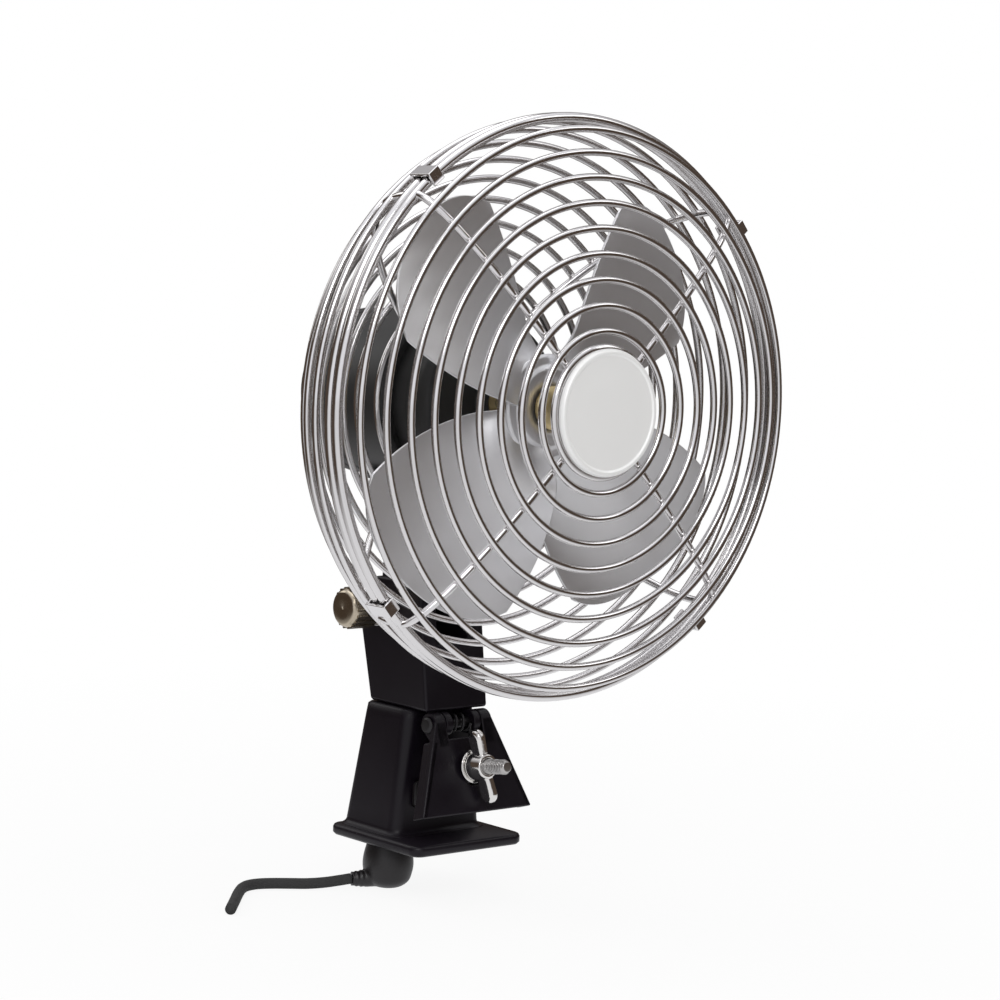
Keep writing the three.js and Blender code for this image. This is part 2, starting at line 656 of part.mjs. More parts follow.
/** A spring clip round the foot of the post, under the body's roof. */
function postClip() {
  const z0 = BODY_TOP_Z - BODY_ROOF - GAP;
  const g = ringSection(POST_R + RUNNING, POST_R + POST_CLIP_WIDE, 0, POST_CLIP_THICK, 24);
  return g.rotateX(Math.PI / 2).translate(0, SWIVEL_Y, z0 - POST_CLIP_THICK);
}

function tiltWasher(side) {
  const x0 = NECK_HALF_X + GAP;
  const g = ringSection(TILT_BOLT_R + RUNNING * 2, TILT_WASHER_R, 0, TILT_WASHER_THICK, 24);
  g.rotateZ(-side * Math.PI / 2);
  return g.translate(side * x0, TILT_Y, TILT_Z);
}

function tiltBolt() {
  // domed head on the right, thread end inside the knob on the left
  const headX = NECK_HALF_X + GAP * 2 + TILT_WASHER_THICK;
  const r = TILT_BOLT_R;
  const tip = -(headX + KNOB_LONG * 0.7);
  const shaft = bar('x', r, tip, headX + 1, [0, 0], 20);
  const head = turned([[0, headX], [r * 2, headX], [r * 1.8, headX + TILT_HEAD_TALL * 0.65],
    [r * 0.9, headX + TILT_HEAD_TALL], [0, headX + TILT_HEAD_TALL]], 24).rotateZ(-Math.PI / 2);
  return shape(join(solid(shaft), solid(head))).translate(0, TILT_Y, TILT_Z);
}

function tiltKnob() {
  const face = NECK_HALF_X + GAP * 2 + TILT_WASHER_THICK;
  const s = new THREE.Shape();
  for (let i = 0; i < 2 * KNOB_RIDGES; i += 1) {
    const a = Math.PI * i / KNOB_RIDGES;
    const r = i % 2 ? KNOB_R : KNOB_R - 0.6;
    if (i === 0) s.moveTo(r, 0);
    else s.lineTo(r * Math.cos(a), r * Math.sin(a));
  }
  const grip = new THREE.ExtrudeGeometry(s, { depth: KNOB_LONG - 2, bevelEnabled: true,
    bevelThickness: 0.8, bevelSize: 0.8, bevelOffset: -0.8, bevelSegments: 1 });
  grip.rotateY(-Math.PI / 2).translate(-face - 1.6, 0, 0);
  const boss = bar('x', KNOB_R * 0.62, -face - 2.2, -face, [0, 0], 20);
  const bore = bar('x', TILT_BOLT_R + 0.1, -(face + KNOB_LONG * 0.72), 0, [0, 0], 20);
  return shape(join(solid(grip), solid(boss)).subtract(solid(bore)))
    .translate(0, TILT_Y, TILT_Z);
}

// ---------------------------------------------------------------- head

/** The lug that joins the motor to the neck: a waisted plate under a curved saddle. */
function headBracket() {
  const s = new THREE.Shape();
  const under = FAN_Z - MOTOR_R;
  s.absarc(TILT_Y, TILT_Z, LUG_R, Math.PI, 2 * Math.PI);
  s.lineTo(TILT_Y + LUG_WAIST, under - SADDLE_DROP);
  s.lineTo(TILT_Y + SADDLE_LONG / 2, under + SADDLE_RISE);
  s.lineTo(TILT_Y - SADDLE_LONG / 2, under + SADDLE_RISE);
  s.lineTo(TILT_Y - LUG_WAIST, under - SADDLE_DROP);
  let body = solid(acrossX(s, LUG_HALF_X, 10));
  const seatR = MOTOR_R + GAP;
  const saddle = ringSection(seatR, seatR + SADDLE_THICK, 0, SADDLE_LONG, 48)
    .translate(0, TILT_Y - SADDLE_LONG / 2, FAN_Z);
  const keep = block([-SADDLE_HALF_X, -THROUGH, under - SADDLE_DROP],
    [SADDLE_HALF_X, THROUGH, under + SADDLE_RISE]);
  body = body.add(solid(saddle).intersect(solid(keep)));
  body = body.subtract(solid(bar('y', seatR, -THROUGH, THROUGH, [0, FAN_Z], 48)));
  return body.subtract(solid(bar('x', TILT_BOLT_R + GAP, -THROUGH, THROUGH, [TILT_Y, TILT_Z])));
}

/** A spoke from near the fan's axis out to a rim, behind or ahead of the rings it carries. */
function spoke(innerR, k, ringY, offset, rimY) {
  const last = 16;
  const points = [];
  for (let i = 0; i < last; i += 1) {
    const r = innerR + (GUARD_R - innerR) * Math.sin((i / last) * Math.PI / 2);
    points.push(new THREE.Vector3(r, ringY(r) + offset, 0));
  }
  points.push(new THREE.Vector3(GUARD_R, rimY, 0));
  const g = wire(new THREE.CatmullRomCurve3(points), SPOKE_R, 22, 5);
  return g.rotateY((45 + k * 360 / SPOKES) * RAD);
}

function frontGuard() {
  const rings = [wireRing(GUARD_R, 0, RIM_WIRE_R)];
  for (const [r, y] of ringStations(domeAt, BADGE_R - SPOKE_IN, FRONT_RINGS)) {
    rings.push(wireRing(r, -y));
  }
  let guard = join(...rings.map(solid));
  for (let k = 0; k < SPOKES; k += 1) {
    guard = guard.add(solid(spoke(BADGE_R - SPOKE_IN, k, (r) => -domeAt(r), SPOKE_BEHIND, 0)));
  }
  const plateY = -domeAt(BADGE_R);
  const centre = turned([[0, plateY - PLATE_THICK], [BADGE_R, plateY - PLATE_THICK],
    [BADGE_R + 1.2, plateY], [BADGE_R, plateY + PLATE_THICK + WIRE_R], [0, plateY
      + PLATE_THICK + WIRE_R]], 40);
  return guard.add(solid(centre));
}

function badge() {
  const y1 = -domeAt(BADGE_R) - PLATE_THICK - GAP;
  return turned([[0, y1 - BADGE_THICK - 0.5], [BADGE_R * 0.6, y1 - BADGE_THICK - 0.3],
    [BADGE_R - 1.5, y1 - BADGE_THICK], [BADGE_R - 0.4, y1 - BADGE_THICK * 0.5],
    [BADGE_R - 0.4, y1], [0, y1]], 40);
}

function rearGuard() {
  const rimY = RIM_PITCH;
  const rings = [wireRing(GUARD_R, rimY, RIM_WIRE_R)];
  for (const [r, y] of ringStations(cageAt, FLANGE_R, REAR_RINGS)) {
    rings.push(wireRing(r, y + rimY));
  }
  let guard = join(...rings.map(solid));
  for (let k = 0; k < SPOKES; k += 1) {
    guard = guard.add(solid(spoke(FLANGE_R - SPOKE_IN, k, (r) => cageAt(r) + rimY,
      -SPOKE_BEHIND, rimY)));
  }
  const y0 = cageAt(FLANGE_R) + rimY - SPOKE_BEHIND;
  return guard.add(solid(ringSection(MOTOR_R + GAP, FLANGE_R, y0, y0 + FLANGE_THICK, 40)));
}

/** A spring clip that holds the two rims together, at one of the spokes. */
function guardClip(k) {
  const out = GUARD_R + RIM_WIRE_R + GAP;
  const y0 = -RIM_WIRE_R - GAP - CLIP_THICK;
  const y1 = RIM_WIRE_R * 3 + GAP * 2 + CLIP_THICK;
  const inside = GUARD_R - RIM_WIRE_R;
  const s = outlineOf([[inside, y0], [out + CLIP_THICK, y0], [out + CLIP_THICK, y1], [inside, y1],
    [inside, y1 - CLIP_THICK], [out, y1 - CLIP_THICK], [out, y0 + CLIP_THICK],
    [inside, y0 + CLIP_THICK]]);
  const g = new THREE.ExtrudeGeometry(s, { depth: CLIP_WIDE, bevelEnabled: false });
  return g.translate(0, 0, -CLIP_WIDE / 2).rotateY((45 + CLIP_ASIDE + k * 360 / SPOKES) * RAD);
}

function blade() {
  const g = new THREE.BoxGeometry(1, 1, 1, 6, 7, 1);
  const p = g.attributes.position;
  for (let i = 0; i < p.count; i += 1) {
    const across = p.getX(i) * 2;                 // -1 .. 1 along the chord
    const out = p.getY(i) + 0.5;                  // 0 at the root, 1 at the tip
    const arc = (BLADE_ROOT_ANGLE + (BLADE_TIP_ANGLE - BLADE_ROOT_ANGLE) * out) * RAD;
    // the tip corners are rounded off
    const tip = WHEEL_R - BLADE_CORNER * Math.abs(across) ** 3.2;
    const r = BLADE_ROOT_R + (tip - BLADE_ROOT_R) * out;
    const pitch = (BLADE_ROOT_PITCH + (BLADE_TIP_PITCH - BLADE_ROOT_PITCH) * out) * RAD;
    const turn = across * arc;
    const camber = BLADE_CAMBER * (1 - across * across) * out;
    const lean = Math.sin(Math.min(out * 4, 1) * Math.PI / 2);
    const y = WHEEL_Y - r * turn * Math.tan(pitch) * lean * 0.9 + camber
      + p.getZ(i) * BLADE_THICK;
    p.setXYZ(i, r * Math.cos(turn), y, r * Math.sin(turn));
  }
  return g;
}

function fanWheel() {
  const front = WHEEL_Y - WHEEL_DISC_THICK;
  const back = WHEEL_Y + WHEEL_DISC_THICK;
  let wheel = solid(turned([[0, front], [WHEEL_DISC_R * 0.8, front], [WHEEL_DISC_R, WHEEL_Y],
    [WHEEL_DISC_R, back], [0, back]], 32));
  for (let k = 0; k < BLADES; k += 1) {
    wheel = wheel.add(solid(blade().rotateY((45 + k * 360 / BLADES) * RAD)));
  }
  return wheel.subtract(solid(bar('y', HUB_BORE_R + GAP, front - 1, back + 1)));
}

function fanHub() {
  const front = WHEEL_Y - WHEEL_DISC_THICK - GAP;
  const back = WHEEL_Y + WHEEL_DISC_THICK + GAP;
  const nose = front - HUB_NOSE;
  const hub = turned([[0, nose], [HUB_R * 0.7, nose], [HUB_R, front - HUB_NOSE / 2],
    [HUB_R, front], [HUB_BORE_R, front], [HUB_BORE_R, back], [HUB_R, back],
    [HUB_R, back + HUB_LONG], [0, back + HUB_LONG]], 28);
  const seat = solid(hub).subtract(solid(bar('y', SHAFT_R + RUNNING, front - 1, THROUGH)));
  return seat.subtract(solid(bar('z', SET_SCREW_R + RUNNING, 0, HUB_R * 2,
    [0, back + HUB_LONG / 2], 16)));
}

function hubSetScrew() {
  const y = WHEEL_Y + WHEEL_DISC_THICK + GAP + HUB_LONG / 2;
  return bar('z', SET_SCREW_R, SHAFT_R + GAP, HUB_R + 0.4, [0, y], 16);
}

function motorShaft() {
  const front = WHEEL_Y - WHEEL_DISC_THICK - GAP - 1 + GAP;
  return bar('y', SHAFT_R, front, MOTOR_BACK_Y - 4, [0, 0], 20);
}

function motorHousing() {
  const back = MOTOR_BACK_Y - CAP_DEEP - GAP;
  const nose = MOTOR_FRONT_Y - NOSE_LONG;
  const noseR = BUSH_R + NOSE_WALL;
  const bore = BUSH_R + RUNNING;
  const round = MOTOR_WALL * 2;
  const inner = MOTOR_R - MOTOR_WALL;
  return turned([
    [bore, nose], [noseR, nose], [noseR + NOSE_WALL, MOTOR_FRONT_Y],
    [MOTOR_R - round, MOTOR_FRONT_Y], [MOTOR_R - round * 0.3, MOTOR_FRONT_Y + round * 0.3],
    [MOTOR_R, MOTOR_FRONT_Y + round], [MOTOR_R, back], [inner, back],
    [inner, MOTOR_FRONT_Y + MOTOR_WALL + NOSE_LONG], [inner - NOSE_LONG / 2,
      MOTOR_FRONT_Y + MOTOR_WALL], [bore, MOTOR_FRONT_Y + MOTOR_WALL], [bore, nose],
  ], 32);
}

function motorCap() {
  const front = MOTOR_BACK_Y - CAP_DEEP;
  const r = MOTOR_R;
  const bore = BUSH_R + RUNNING;
  const spigot = r - MOTOR_WALL - GAP;
  const points = [[bore, front + CAP_WALL], [spigot - NOSE_WALL, front + CAP_WALL],
    [spigot - NOSE_WALL, front - NOSE_LONG], [spigot, front - NOSE_LONG],
    [spigot, front], [r, front]];
  for (let i = 0; i <= 4; i += 1) {
    const a = (i / 4) * Math.PI / 2;
    points.push([r - CAP_ROUND + CAP_ROUND * Math.cos(a),
      MOTOR_BACK_Y - CAP_ROUND + CAP_ROUND * Math.sin(a)]);
  }
  const seat = MOTOR_BACK_Y - CAP_WALL;
  points.push([0, MOTOR_BACK_Y], [0, seat], [bore, seat], [bore, front + CAP_WALL]);
  let cap = solid(turned(points, 32));
  for (let k = 0; k < VENTS; k += 1) {
    const slot = block([-VENT_HALF_X, front - 1, BUSH_R + 6],
      [VENT_HALF_X, MOTOR_BACK_Y + 1, r - CAP_ROUND - 1]);
    slot.rotateY((k + 0.5) * 2 * Math.PI / VENTS);
    cap = cap.subtract(solid(slot));
  }
  return cap;
}

function bush(y0) {
  return ringSection(SHAFT_R + RUNNING, BUSH_R - GAP + RUNNING, y0, y0 + BUSH_LONG, 24);
}

function magnetArc(side) {
  const outer = MOTOR_R - MOTOR_WALL - GAP;
  const inner = outer - MAGNET_THICK;
  const s = new THREE.Shape();
  const half = MAGNET_HALF_ANGLE * RAD;
  s.absarc(0, 0, outer, -half, half);
  s.absarc(0, 0, inner, half, -half, true);
  const g = new THREE.ExtrudeGeometry(s, { depth: MAGNET_LONG, bevelEnabled: false,
    curveSegments: 12 });
  g.rotateX(Math.PI / 2).translate(0, MOTOR_MID_Y + MAGNET_LONG / 2, 0);
  return side < 0 ? g.rotateY(Math.PI) : g;
}

function armature() {
  const [y0, y1] = [MOTOR_MID_Y - STACK_LONG / 2, STACK_BACK_Y];
  let stack = solid(ringSection(SHAFT_R + GAP, STACK_R, y0, y1, 40));
  for (let k = 0; k < STACK_POLES; k += 1) {
    const slot = block([-STACK_SLOT / 2, y0 - 1, STACK_R * 0.45],
      [STACK_SLOT / 2, y1 + 1, STACK_R + 1]).rotateY(k * 2 * Math.PI / STACK_POLES);
    stack = stack.subtract(solid(slot));
  }
  return stack;
}

function commutator() {
  const y0 = STACK_BACK_Y + COMMUTATOR_AFTER;
  return ringSection(SHAFT_R + GAP, COMMUTATOR_R, y0, y0 + COMMUTATOR_LONG, 24);
}

function brush(side) {
  const y = STACK_BACK_Y + COMMUTATOR_AFTER + COMMUTATOR_LONG / 2;
  const near = COMMUTATOR_R + GAP;
  const far = MOTOR_R - MOTOR_WALL - GAP * 3 - NOSE_WALL;
  const [x0, x1] = side > 0 ? [near, far] : [-far, -near];
  return block([x0, y - BRUSH_WIDE / 2, -BRUSH_TALL / 2], [x1, y + BRUSH_WIDE / 2, BRUSH_TALL / 2]);
}

// ---------------------------------------------------------------- assembly

const clamp = new THREE.Group();
clamp.add(
  piece('clamp_body', clampBody(), blackPlastic),
  piece('rear_pad', rearPad(), rubber),
  piece('jaw_pin', jawPin(), steel),
  piece('jaw_spring', jawSpring(), steel),
  piece('clamp_bolt', clampBolt(), steel),
  piece('front_jaw', frontJaw(), blackPlastic),
  piece('front_pad', frontPad(), rubber),
  piece('nut_washer', nutWasher(), chrome),
  piece('wing_nut', wingNut(), chrome),
  piece('cord_gland', cordGland(), rubber),
  piece('cord', cord(), rubber),
);

const column = new THREE.Group();
column.add(
  piece('neck', neck(), blackPlastic),
  piece('post_clip', postClip(), steel),
  piece('tilt_bolt', tiltBolt(), steel),
  piece('tilt_knob', tiltKnob(), chrome),
  piece('tilt_washer_left', tiltWasher(-1), steel),
  piece('tilt_washer_right', tiltWasher(1), steel),
  piece('head_bracket', headBracket(), blackPlastic),
);

const head = new THREE.Group();
head.position.set(0, FAN_Y, FAN_Z);
head.add(
  piece('front_guard', frontGuard(), chrome),
  piece('badge', badge(), enamel),
  piece('rear_guard', rearGuard(), chrome),
  piece('motor_housing', motorHousing(), blackPlastic),
  piece('motor_cap', motorCap(), blackPlastic),
  piece('front_bush', bush(MOTOR_FRONT_Y - NOSE_LONG), brass),
  piece('rear_bush', bush(MOTOR_BACK_Y - CAP_WALL - GAP - BUSH_LONG), brass),
  piece('magnet_left', magnetArc(-1), magnet),
  piece('magnet_right', magnetArc(1), magnet),
  piece('brush_left', brush(-1), carbon),
  piece('brush_right', brush(1), carbon),
  piece('motor_shaft', motorShaft(), steel),
  piece('armature', armature(), steel),
  piece('commutator', commutator(), brass),
  piece('fan_wheel', fanWheel(), aluminium),
  piece('fan_hub', fanHub(), brass),
  piece('hub_set_screw', hubSetScrew(), steel),
);
for (let k = 0; k < SPOKES; k += 1) {
  head.add(piece(`guard_clip_${k + 1}`, guardClip(k), chrome));
}

const clipFan = new THREE.Group();
clipFan.name = 'clip_fan';
clipFan.add(clamp, column, head);
clipFan.updateMatrixWorld(true);

export default clipFan;
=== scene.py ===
"""Clip fan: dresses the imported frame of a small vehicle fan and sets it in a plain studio.

Metres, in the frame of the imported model: +Z is up, the fan blows towards -Y, and the origin
is the middle of the fixed jaw's pad. Sizes in the classes are written as millimetres * MM.
"""

import logging
import math
from dataclasses import dataclass, field
from enum import Enum
from typing import Callable, Iterable, Sequence
import bmesh
import bpy
from mathutils import Matrix, Vector


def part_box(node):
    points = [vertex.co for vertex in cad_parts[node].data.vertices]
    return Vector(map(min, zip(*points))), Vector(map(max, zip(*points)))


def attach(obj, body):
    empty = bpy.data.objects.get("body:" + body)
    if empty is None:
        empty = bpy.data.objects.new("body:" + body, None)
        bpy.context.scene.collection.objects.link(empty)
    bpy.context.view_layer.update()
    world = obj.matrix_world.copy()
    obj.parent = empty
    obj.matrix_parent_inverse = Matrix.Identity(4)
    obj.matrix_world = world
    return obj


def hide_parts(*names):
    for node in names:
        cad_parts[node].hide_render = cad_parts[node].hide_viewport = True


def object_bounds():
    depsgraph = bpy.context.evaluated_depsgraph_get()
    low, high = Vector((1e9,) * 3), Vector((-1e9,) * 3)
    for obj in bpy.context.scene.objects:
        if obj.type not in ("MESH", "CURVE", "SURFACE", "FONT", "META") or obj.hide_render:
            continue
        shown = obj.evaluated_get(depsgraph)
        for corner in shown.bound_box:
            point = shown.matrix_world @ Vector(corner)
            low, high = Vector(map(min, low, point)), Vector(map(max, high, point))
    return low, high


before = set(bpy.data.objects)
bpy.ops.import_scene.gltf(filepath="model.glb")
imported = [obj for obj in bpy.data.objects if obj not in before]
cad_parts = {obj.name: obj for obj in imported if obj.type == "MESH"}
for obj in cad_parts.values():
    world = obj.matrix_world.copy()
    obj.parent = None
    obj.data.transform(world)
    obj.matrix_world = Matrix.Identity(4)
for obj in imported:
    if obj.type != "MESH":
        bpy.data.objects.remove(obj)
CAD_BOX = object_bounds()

MM = 0.001
QUARTER = math.pi / 2
WHITE = (1.0, 1.0, 1.0)
LOG = logging.getLogger("clip_fan")

# the X and Y of frames whose Z points forward (-Y), right (+X) and back (+Y)
FORWARD = ((1, 0, 0), (0, 0, 1))
RIGHT = ((0, 1, 0), (0, 0, 1))
BACK = ((0, 0, 1), (1, 0, 0))

Object = bpy.types.Object
Point2 = tuple[float, float]
Span = tuple[float, float]
Point3 = tuple[float, float, float]
Colour = tuple[float, float, float]


# ---------------------------------------------------------------- node trees

@dataclass
class Tree:
    """A node tree in the making, with plain arithmetic on its sockets."""

    tree: bpy.types.NodeTree

    def add(self, kind: str, inputs: dict | None = None, **settings: object) -> bpy.types.Node:
        """Adds a node.

        Args:
            kind: The node's type name.
            inputs: Values, terms or sockets for its inputs, by name or place.
            **settings: Attributes of the node, such as its operation.

        Returns:
            The new node.
        """
        node = self.tree.nodes.new(kind)
        for name, value in settings.items():
            setattr(node, name, value)
        for name, value in (inputs or {}).items():
            self.feed(node.inputs[name], value)
        return node

    def one(self, kind: str, inputs: dict | None = None, **settings: object) -> "Term":
        """Adds a node as add does, and gives its first output."""
        return Term(self, self.add(kind, inputs, **settings).outputs[0])

    def feed(self, socket: bpy.types.NodeSocket, value: object) -> None:
        """Links a term or socket into an input, or writes a plain value on it."""
        if isinstance(value, (Term, bpy.types.NodeSocket)):
            self.tree.links.new(getattr(value, "socket", value), socket)
        else:
            socket.default_value = value

    def math(self, operation: str, *values: object) -> "Term":
        """One step of arithmetic on terms, sockets and numbers."""
        return self.one("ShaderNodeMath", dict(enumerate(values)), operation=operation)

    def vector(self, x: object = 0.0, y: object = 0.0, z: object = 0.0) -> "Term":
        """A vector of three terms or numbers."""
        return self.one("ShaderNodeCombineXYZ", {0: x, 1: y, 2: z})

    def parts(self, vector: object) -> list["Term"]:
        """The three numbers of a vector."""
        node = self.add("ShaderNodeSeparateXYZ", {0: vector})
        return [Term(self, output) for output in node.outputs]

    def spread(self, value: object, low: float, high: float, start: float = 0.0,
               end: float = 1.0) -> "Term":
        """Where a value lies between two limits, as a number from start to end."""
        return self.one("ShaderNodeMapRange", {
            "Value": value, "From Min": low, "From Max": high, "To Min": start, "To Max": end})

    def mix(self, mask: object, under: object, over: object) -> "Term":
        """One colour over another by a mask."""
        node = self.add("ShaderNodeMix", {"Factor": mask}, data_type="RGBA")
        for place, value in ((6, under), (7, over)):
            self.feed(node.inputs[place], (*value, 1.0) if isinstance(value, tuple) else value)
        return Term(self, node.outputs[2])

    def here(self) -> bpy.types.NodeSocket:
        """The place of a point on its object."""
        return self.add("ShaderNodeTexCoord").outputs["Object"]


def step(operation: str, swapped: bool = False) -> Callable[..., "Term"]:
    """A method of a term that does one step of arithmetic.

    Args:
        operation: The math node's operation.
        swapped: Whether the other value comes first.

    Returns:
        The method. It takes the other value, if the operation has one.
    """
    def method(self: "Term", other: object = 0.0) -> "Term":
        """The result of the step."""
        return self.tree.math(operation, *((other, self) if swapped else (self, other)))

    return method


@dataclass(frozen=True)
class Term:
    """A value that varies over a tree. Its angles are in radians."""

    tree: Tree
    socket: bpy.types.NodeSocket

    __add__ = step("ADD")
    __sub__ = step("SUBTRACT")
    __rsub__ = step("SUBTRACT", swapped=True)
    __mul__ = step("MULTIPLY")
    __truediv__ = step("DIVIDE")
    __rtruediv__ = step("DIVIDE", swapped=True)
    __pow__ = step("POWER")
    __abs__ = step("ABSOLUTE")
    sin, cos, tan = step("SINE"), step("COSINE"), step("TANGENT")
    most = step("MINIMUM")           # the number, or the limit where that is less


class Recipe(Tree):
    """A geometry tree with named inputs that makes one kind of repeated shape."""

    def __init__(self, name: str, sizes: dict[str, float | int]) -> None:
        """Starts the tree.

        Args:
            name: The tree's name.
            sizes: Each named input and its value.
        """
        super().__init__(bpy.data.node_groups.new(name, "GeometryNodeTree"))
        self.sizes = sizes
        face = self.tree.interface
        face.new_socket("Geometry", in_out="OUTPUT", socket_type="NodeSocketGeometry")
        for label, value in sizes.items():
            kind = "NodeSocketInt" if isinstance(value, int) else "NodeSocketFloat"
            face.new_socket(label, in_out="INPUT", socket_type=kind)
        face.new_socket("Finish", in_out="INPUT", socket_type="NodeSocketMaterial")
        self.given = self.tree.nodes.new("NodeGroupInput")

    def input(self, label: str) -> Term:
        """A named input as a term."""
        return Term(self, self.given.outputs[label])

    def around(self, geometry: Term, count: Term, start: float) -> Term:
        """Copies of a shape turned evenly about Y.

        Args:
            geometry: The shape, in the X-Y plane.
            count: How many copies.
            start: The first one's angle in radians.

        Returns:
            The realized copies.
        """
        places = self.one("GeometryNodeMeshLine", {"Count": count, "Offset": (0, 0, 0)})
        angle = self.one("GeometryNodeInputIndex") * (math.tau / count) + start
        turn = self.one("FunctionNodeEulerToRotation", {0: self.vector(y=angle)})
        return self.copies(places, geometry, Rotation=turn)

    def copies(self, places: Term, shape: Term, **more: object) -> Term:
        """A realized copy of a shape at each point."""
        laid = self.one("GeometryNodeInstanceOnPoints",
                        {"Points": places, "Instance": shape, **more})
        return self.one("GeometryNodeRealizeInstances", {0: laid})

    def wire(self, curve: Term, radius: Term, sides: int) -> Term:
        """A round wire along a curve."""
        even = self.one("GeometryNodeSetCurveRadius", {"Curve": curve, "Radius": 1.0})
        section = self.one("GeometryNodeCurvePrimitiveCircle",
                           {"Resolution": sides, "Radius": radius})
        return self.one("GeometryNodeCurveToMesh", {
            "Curve": even, "Profile Curve": section, "Fill Caps": True})

    def make(self, name: str, finish: "Finish", *shapes: Term) -> Object:
        """Ends the tree and turns what it makes into a plain mesh.

        Args:
            name: The piece's name.
            finish: Its finish.
            *shapes: The shapes to join.

        Returns:
            The finished object, without the modifier.
        """
        whole = self.add("GeometryNodeJoinGeometry")
        for shape in shapes:
            self.feed(whole.inputs[0], shape)
        smooth = self.one("GeometryNodeSetShadeSmooth", {"Geometry": whole.outputs[0]})
        real = self.one("GeometryNodeRealizeInstances", {0: smooth})
        self.add("NodeGroupOutput", {0: self.one("GeometryNodeSetMaterial", {
            "Geometry": real, "Material": self.given.outputs["Finish"]})})

        obj = new_object(name, bpy.data.meshes.new(name))
        maker = obj.modifiers.new("recipe", "NODES")
        maker.node_group = self.tree
        values = {**self.sizes, "Finish": finish.material()}
        for item in self.tree.interface.items_tree:
            if item.in_out == "INPUT":
                maker[item.identifier] = values[item.name]
        return settled(obj)


# ---------------------------------------------------------------- meshes

def new_object(name: str, mesh: bpy.types.ID) -> Object:
    """An object of a mesh, a lamp or a camera, linked to the scene."""
    obj = bpy.data.objects.new(name, mesh)
    bpy.context.scene.collection.objects.link(obj)
    return obj


def settled(obj: Object) -> Object:
    """The object with its modifiers made part of its mesh."""
    bpy.context.view_layer.update()
    seen = obj.evaluated_get(bpy.context.evaluated_depsgraph_get())
    mesh = bpy.data.meshes.new_from_object(seen)
    old = obj.data
    obj.modifiers.clear()
    obj.data = mesh
    mesh.name = obj.name
    bpy.data.meshes.remove(old)
    return obj


def modified(obj: Object, kind: str, **settings: object) -> Object:
    """The object with one modifier of a kind made part of its mesh."""
    step = obj.modifiers.new("step", kind)
    for name, value in settings.items():
        setattr(step, name, value)
    return settled(obj)


def mesh_piece(name: str, points: Iterable[Sequence[float]],
               faces: Iterable[Sequence[int]]) -> Object:
    """A closed smooth mesh with its faces outwards.

    Args:
        name: The piece's name.
        points: Its corners, in metres.
        faces: Its faces as places in the list of corners.

    Returns:
        The new object.
    """
    mesh = bpy.data.meshes.new(name)
    mesh.from_pydata([tuple(p) for p in points], [], [tuple(f) for f in faces])
    work = bmesh.new()
    work.from_mesh(mesh)
    bmesh.ops.remove_doubles(work, verts=work.verts, dist=1e-6)
    bmesh.ops.dissolve_degenerate(work, edges=work.edges, dist=1e-7)
    bmesh.ops.recalc_face_normals(work, faces=work.faces)
    work.to_mesh(mesh)
    work.free()
    mesh.shade_smooth()
    return new_object(name, mesh)


def loft(name: str, rings: Sequence[Sequence[Sequence[float]]]) -> Object:
    """A skin through rings of equally many points, with both ends capped."""
    size = len(rings[0])
    points = [p for ring in rings for p in ring]
    faces = []
    for a in range(0, len(points) - size, size):
        b = a + size
        faces += [(a + i, a + (i + 1) % size, b + (i + 1) % size, b + i) for i in range(size)]
    caps = [range(size), range(len(points) - size, len(points))]
    return mesh_piece(name, points, faces + caps)


def softened(profile: Sequence[Point2], radius: float, steps: int = 4) -> list[Point2]:
    """A profile with its inner corners rounded.

    Args:
        profile: The points of an open line.
        radius: How far from each corner the round starts.
        steps: Steps in each round.

    Returns:
        The longer list of points.
    """
    out = [profile[0]]
    for before, here, after in zip(profile, profile[1:], profile[2:]):
        corner = Vector(here)
        ends = []
        for other in (before, after):
            way = Vector(other) - corner
            ends.append(corner + way * min(radius / max(way.length, 1e-9), 0.5))
        for k in range(steps + 1):
            t = k / steps
            p = ends[0] * (1 - t) ** 2 + corner * (2 * t * (1 - t)) + ends[1] * t ** 2
            out.append((p.x, p.y))
    return [*out, profile[-1]]


def turned(name: str, profile: Sequence[Point2], place: Matrix, sides: int = 72,
           soft: float = 0.0) -> Object:
    """A solid of revolution.

    Args:
        name: The piece's name.
        profile: Radius and height in order. It starts and ends on the axis, or it closes.
        place: The frame whose Z is the axis.
        sides: Steps round the axis.
        soft: How far from each corner of the profile its round starts.

    Returns:
        The new object.
    """
    line = softened(profile, soft) if soft else profile
    size = len(line)
    points, faces = [], []
    for k in range(sides):
        turn = math.tau * k / sides
        points += [place @ Vector((r * math.cos(turn), r * math.sin(turn), h)) for r, h in line]
        a, b = k * size, (k + 1) % sides * size
        faces += [(a + i, a + i + 1, b + i + 1, b + i) for i in range(size - 1)]
    return mesh_piece(name, points, faces)


def bevelled(obj: Object, width: float, segments: int = 3, angle: float = 32) -> Object:
    """The object with its edges that are sharper than an angle in degrees rounded."""
    return modified(obj, "BEVEL", width=width, segments=segments, limit_method="ANGLE",
                    angle_limit=math.radians(angle), use_clamp_overlap=True,
                    harden_normals=True)


def prism(name: str, outline: Sequence[Point2], place: Matrix, depth: float,
          bevel: float = 0.0) -> Object:
    """An outline with depth along its frame's Z, from 0.

    Args:
        name: The piece's name.
        outline: The corners in the frame's X-Y plane.
        place: The frame.
        depth: How deep it is.
        bevel: The width of its rounded edges.

    Returns:
        The new object.
    """
    obj = loft(name, [[place @ Vector((x, y, z)) for x, y in outline] for z in (0.0, depth)])
    return bevelled(obj, bevel) if bevel else obj


def arc(centre: Point2, radius: float, start: float, end: float, steps: int = 12) -> list[Point2]:
    """Points on a circle between two angles in degrees."""
    angles = [math.radians(start + (end - start) * k / steps) for k in range(steps + 1)]
    return [(centre[0] + radius * math.cos(a), centre[1] + radius * math.sin(a)) for a in angles]


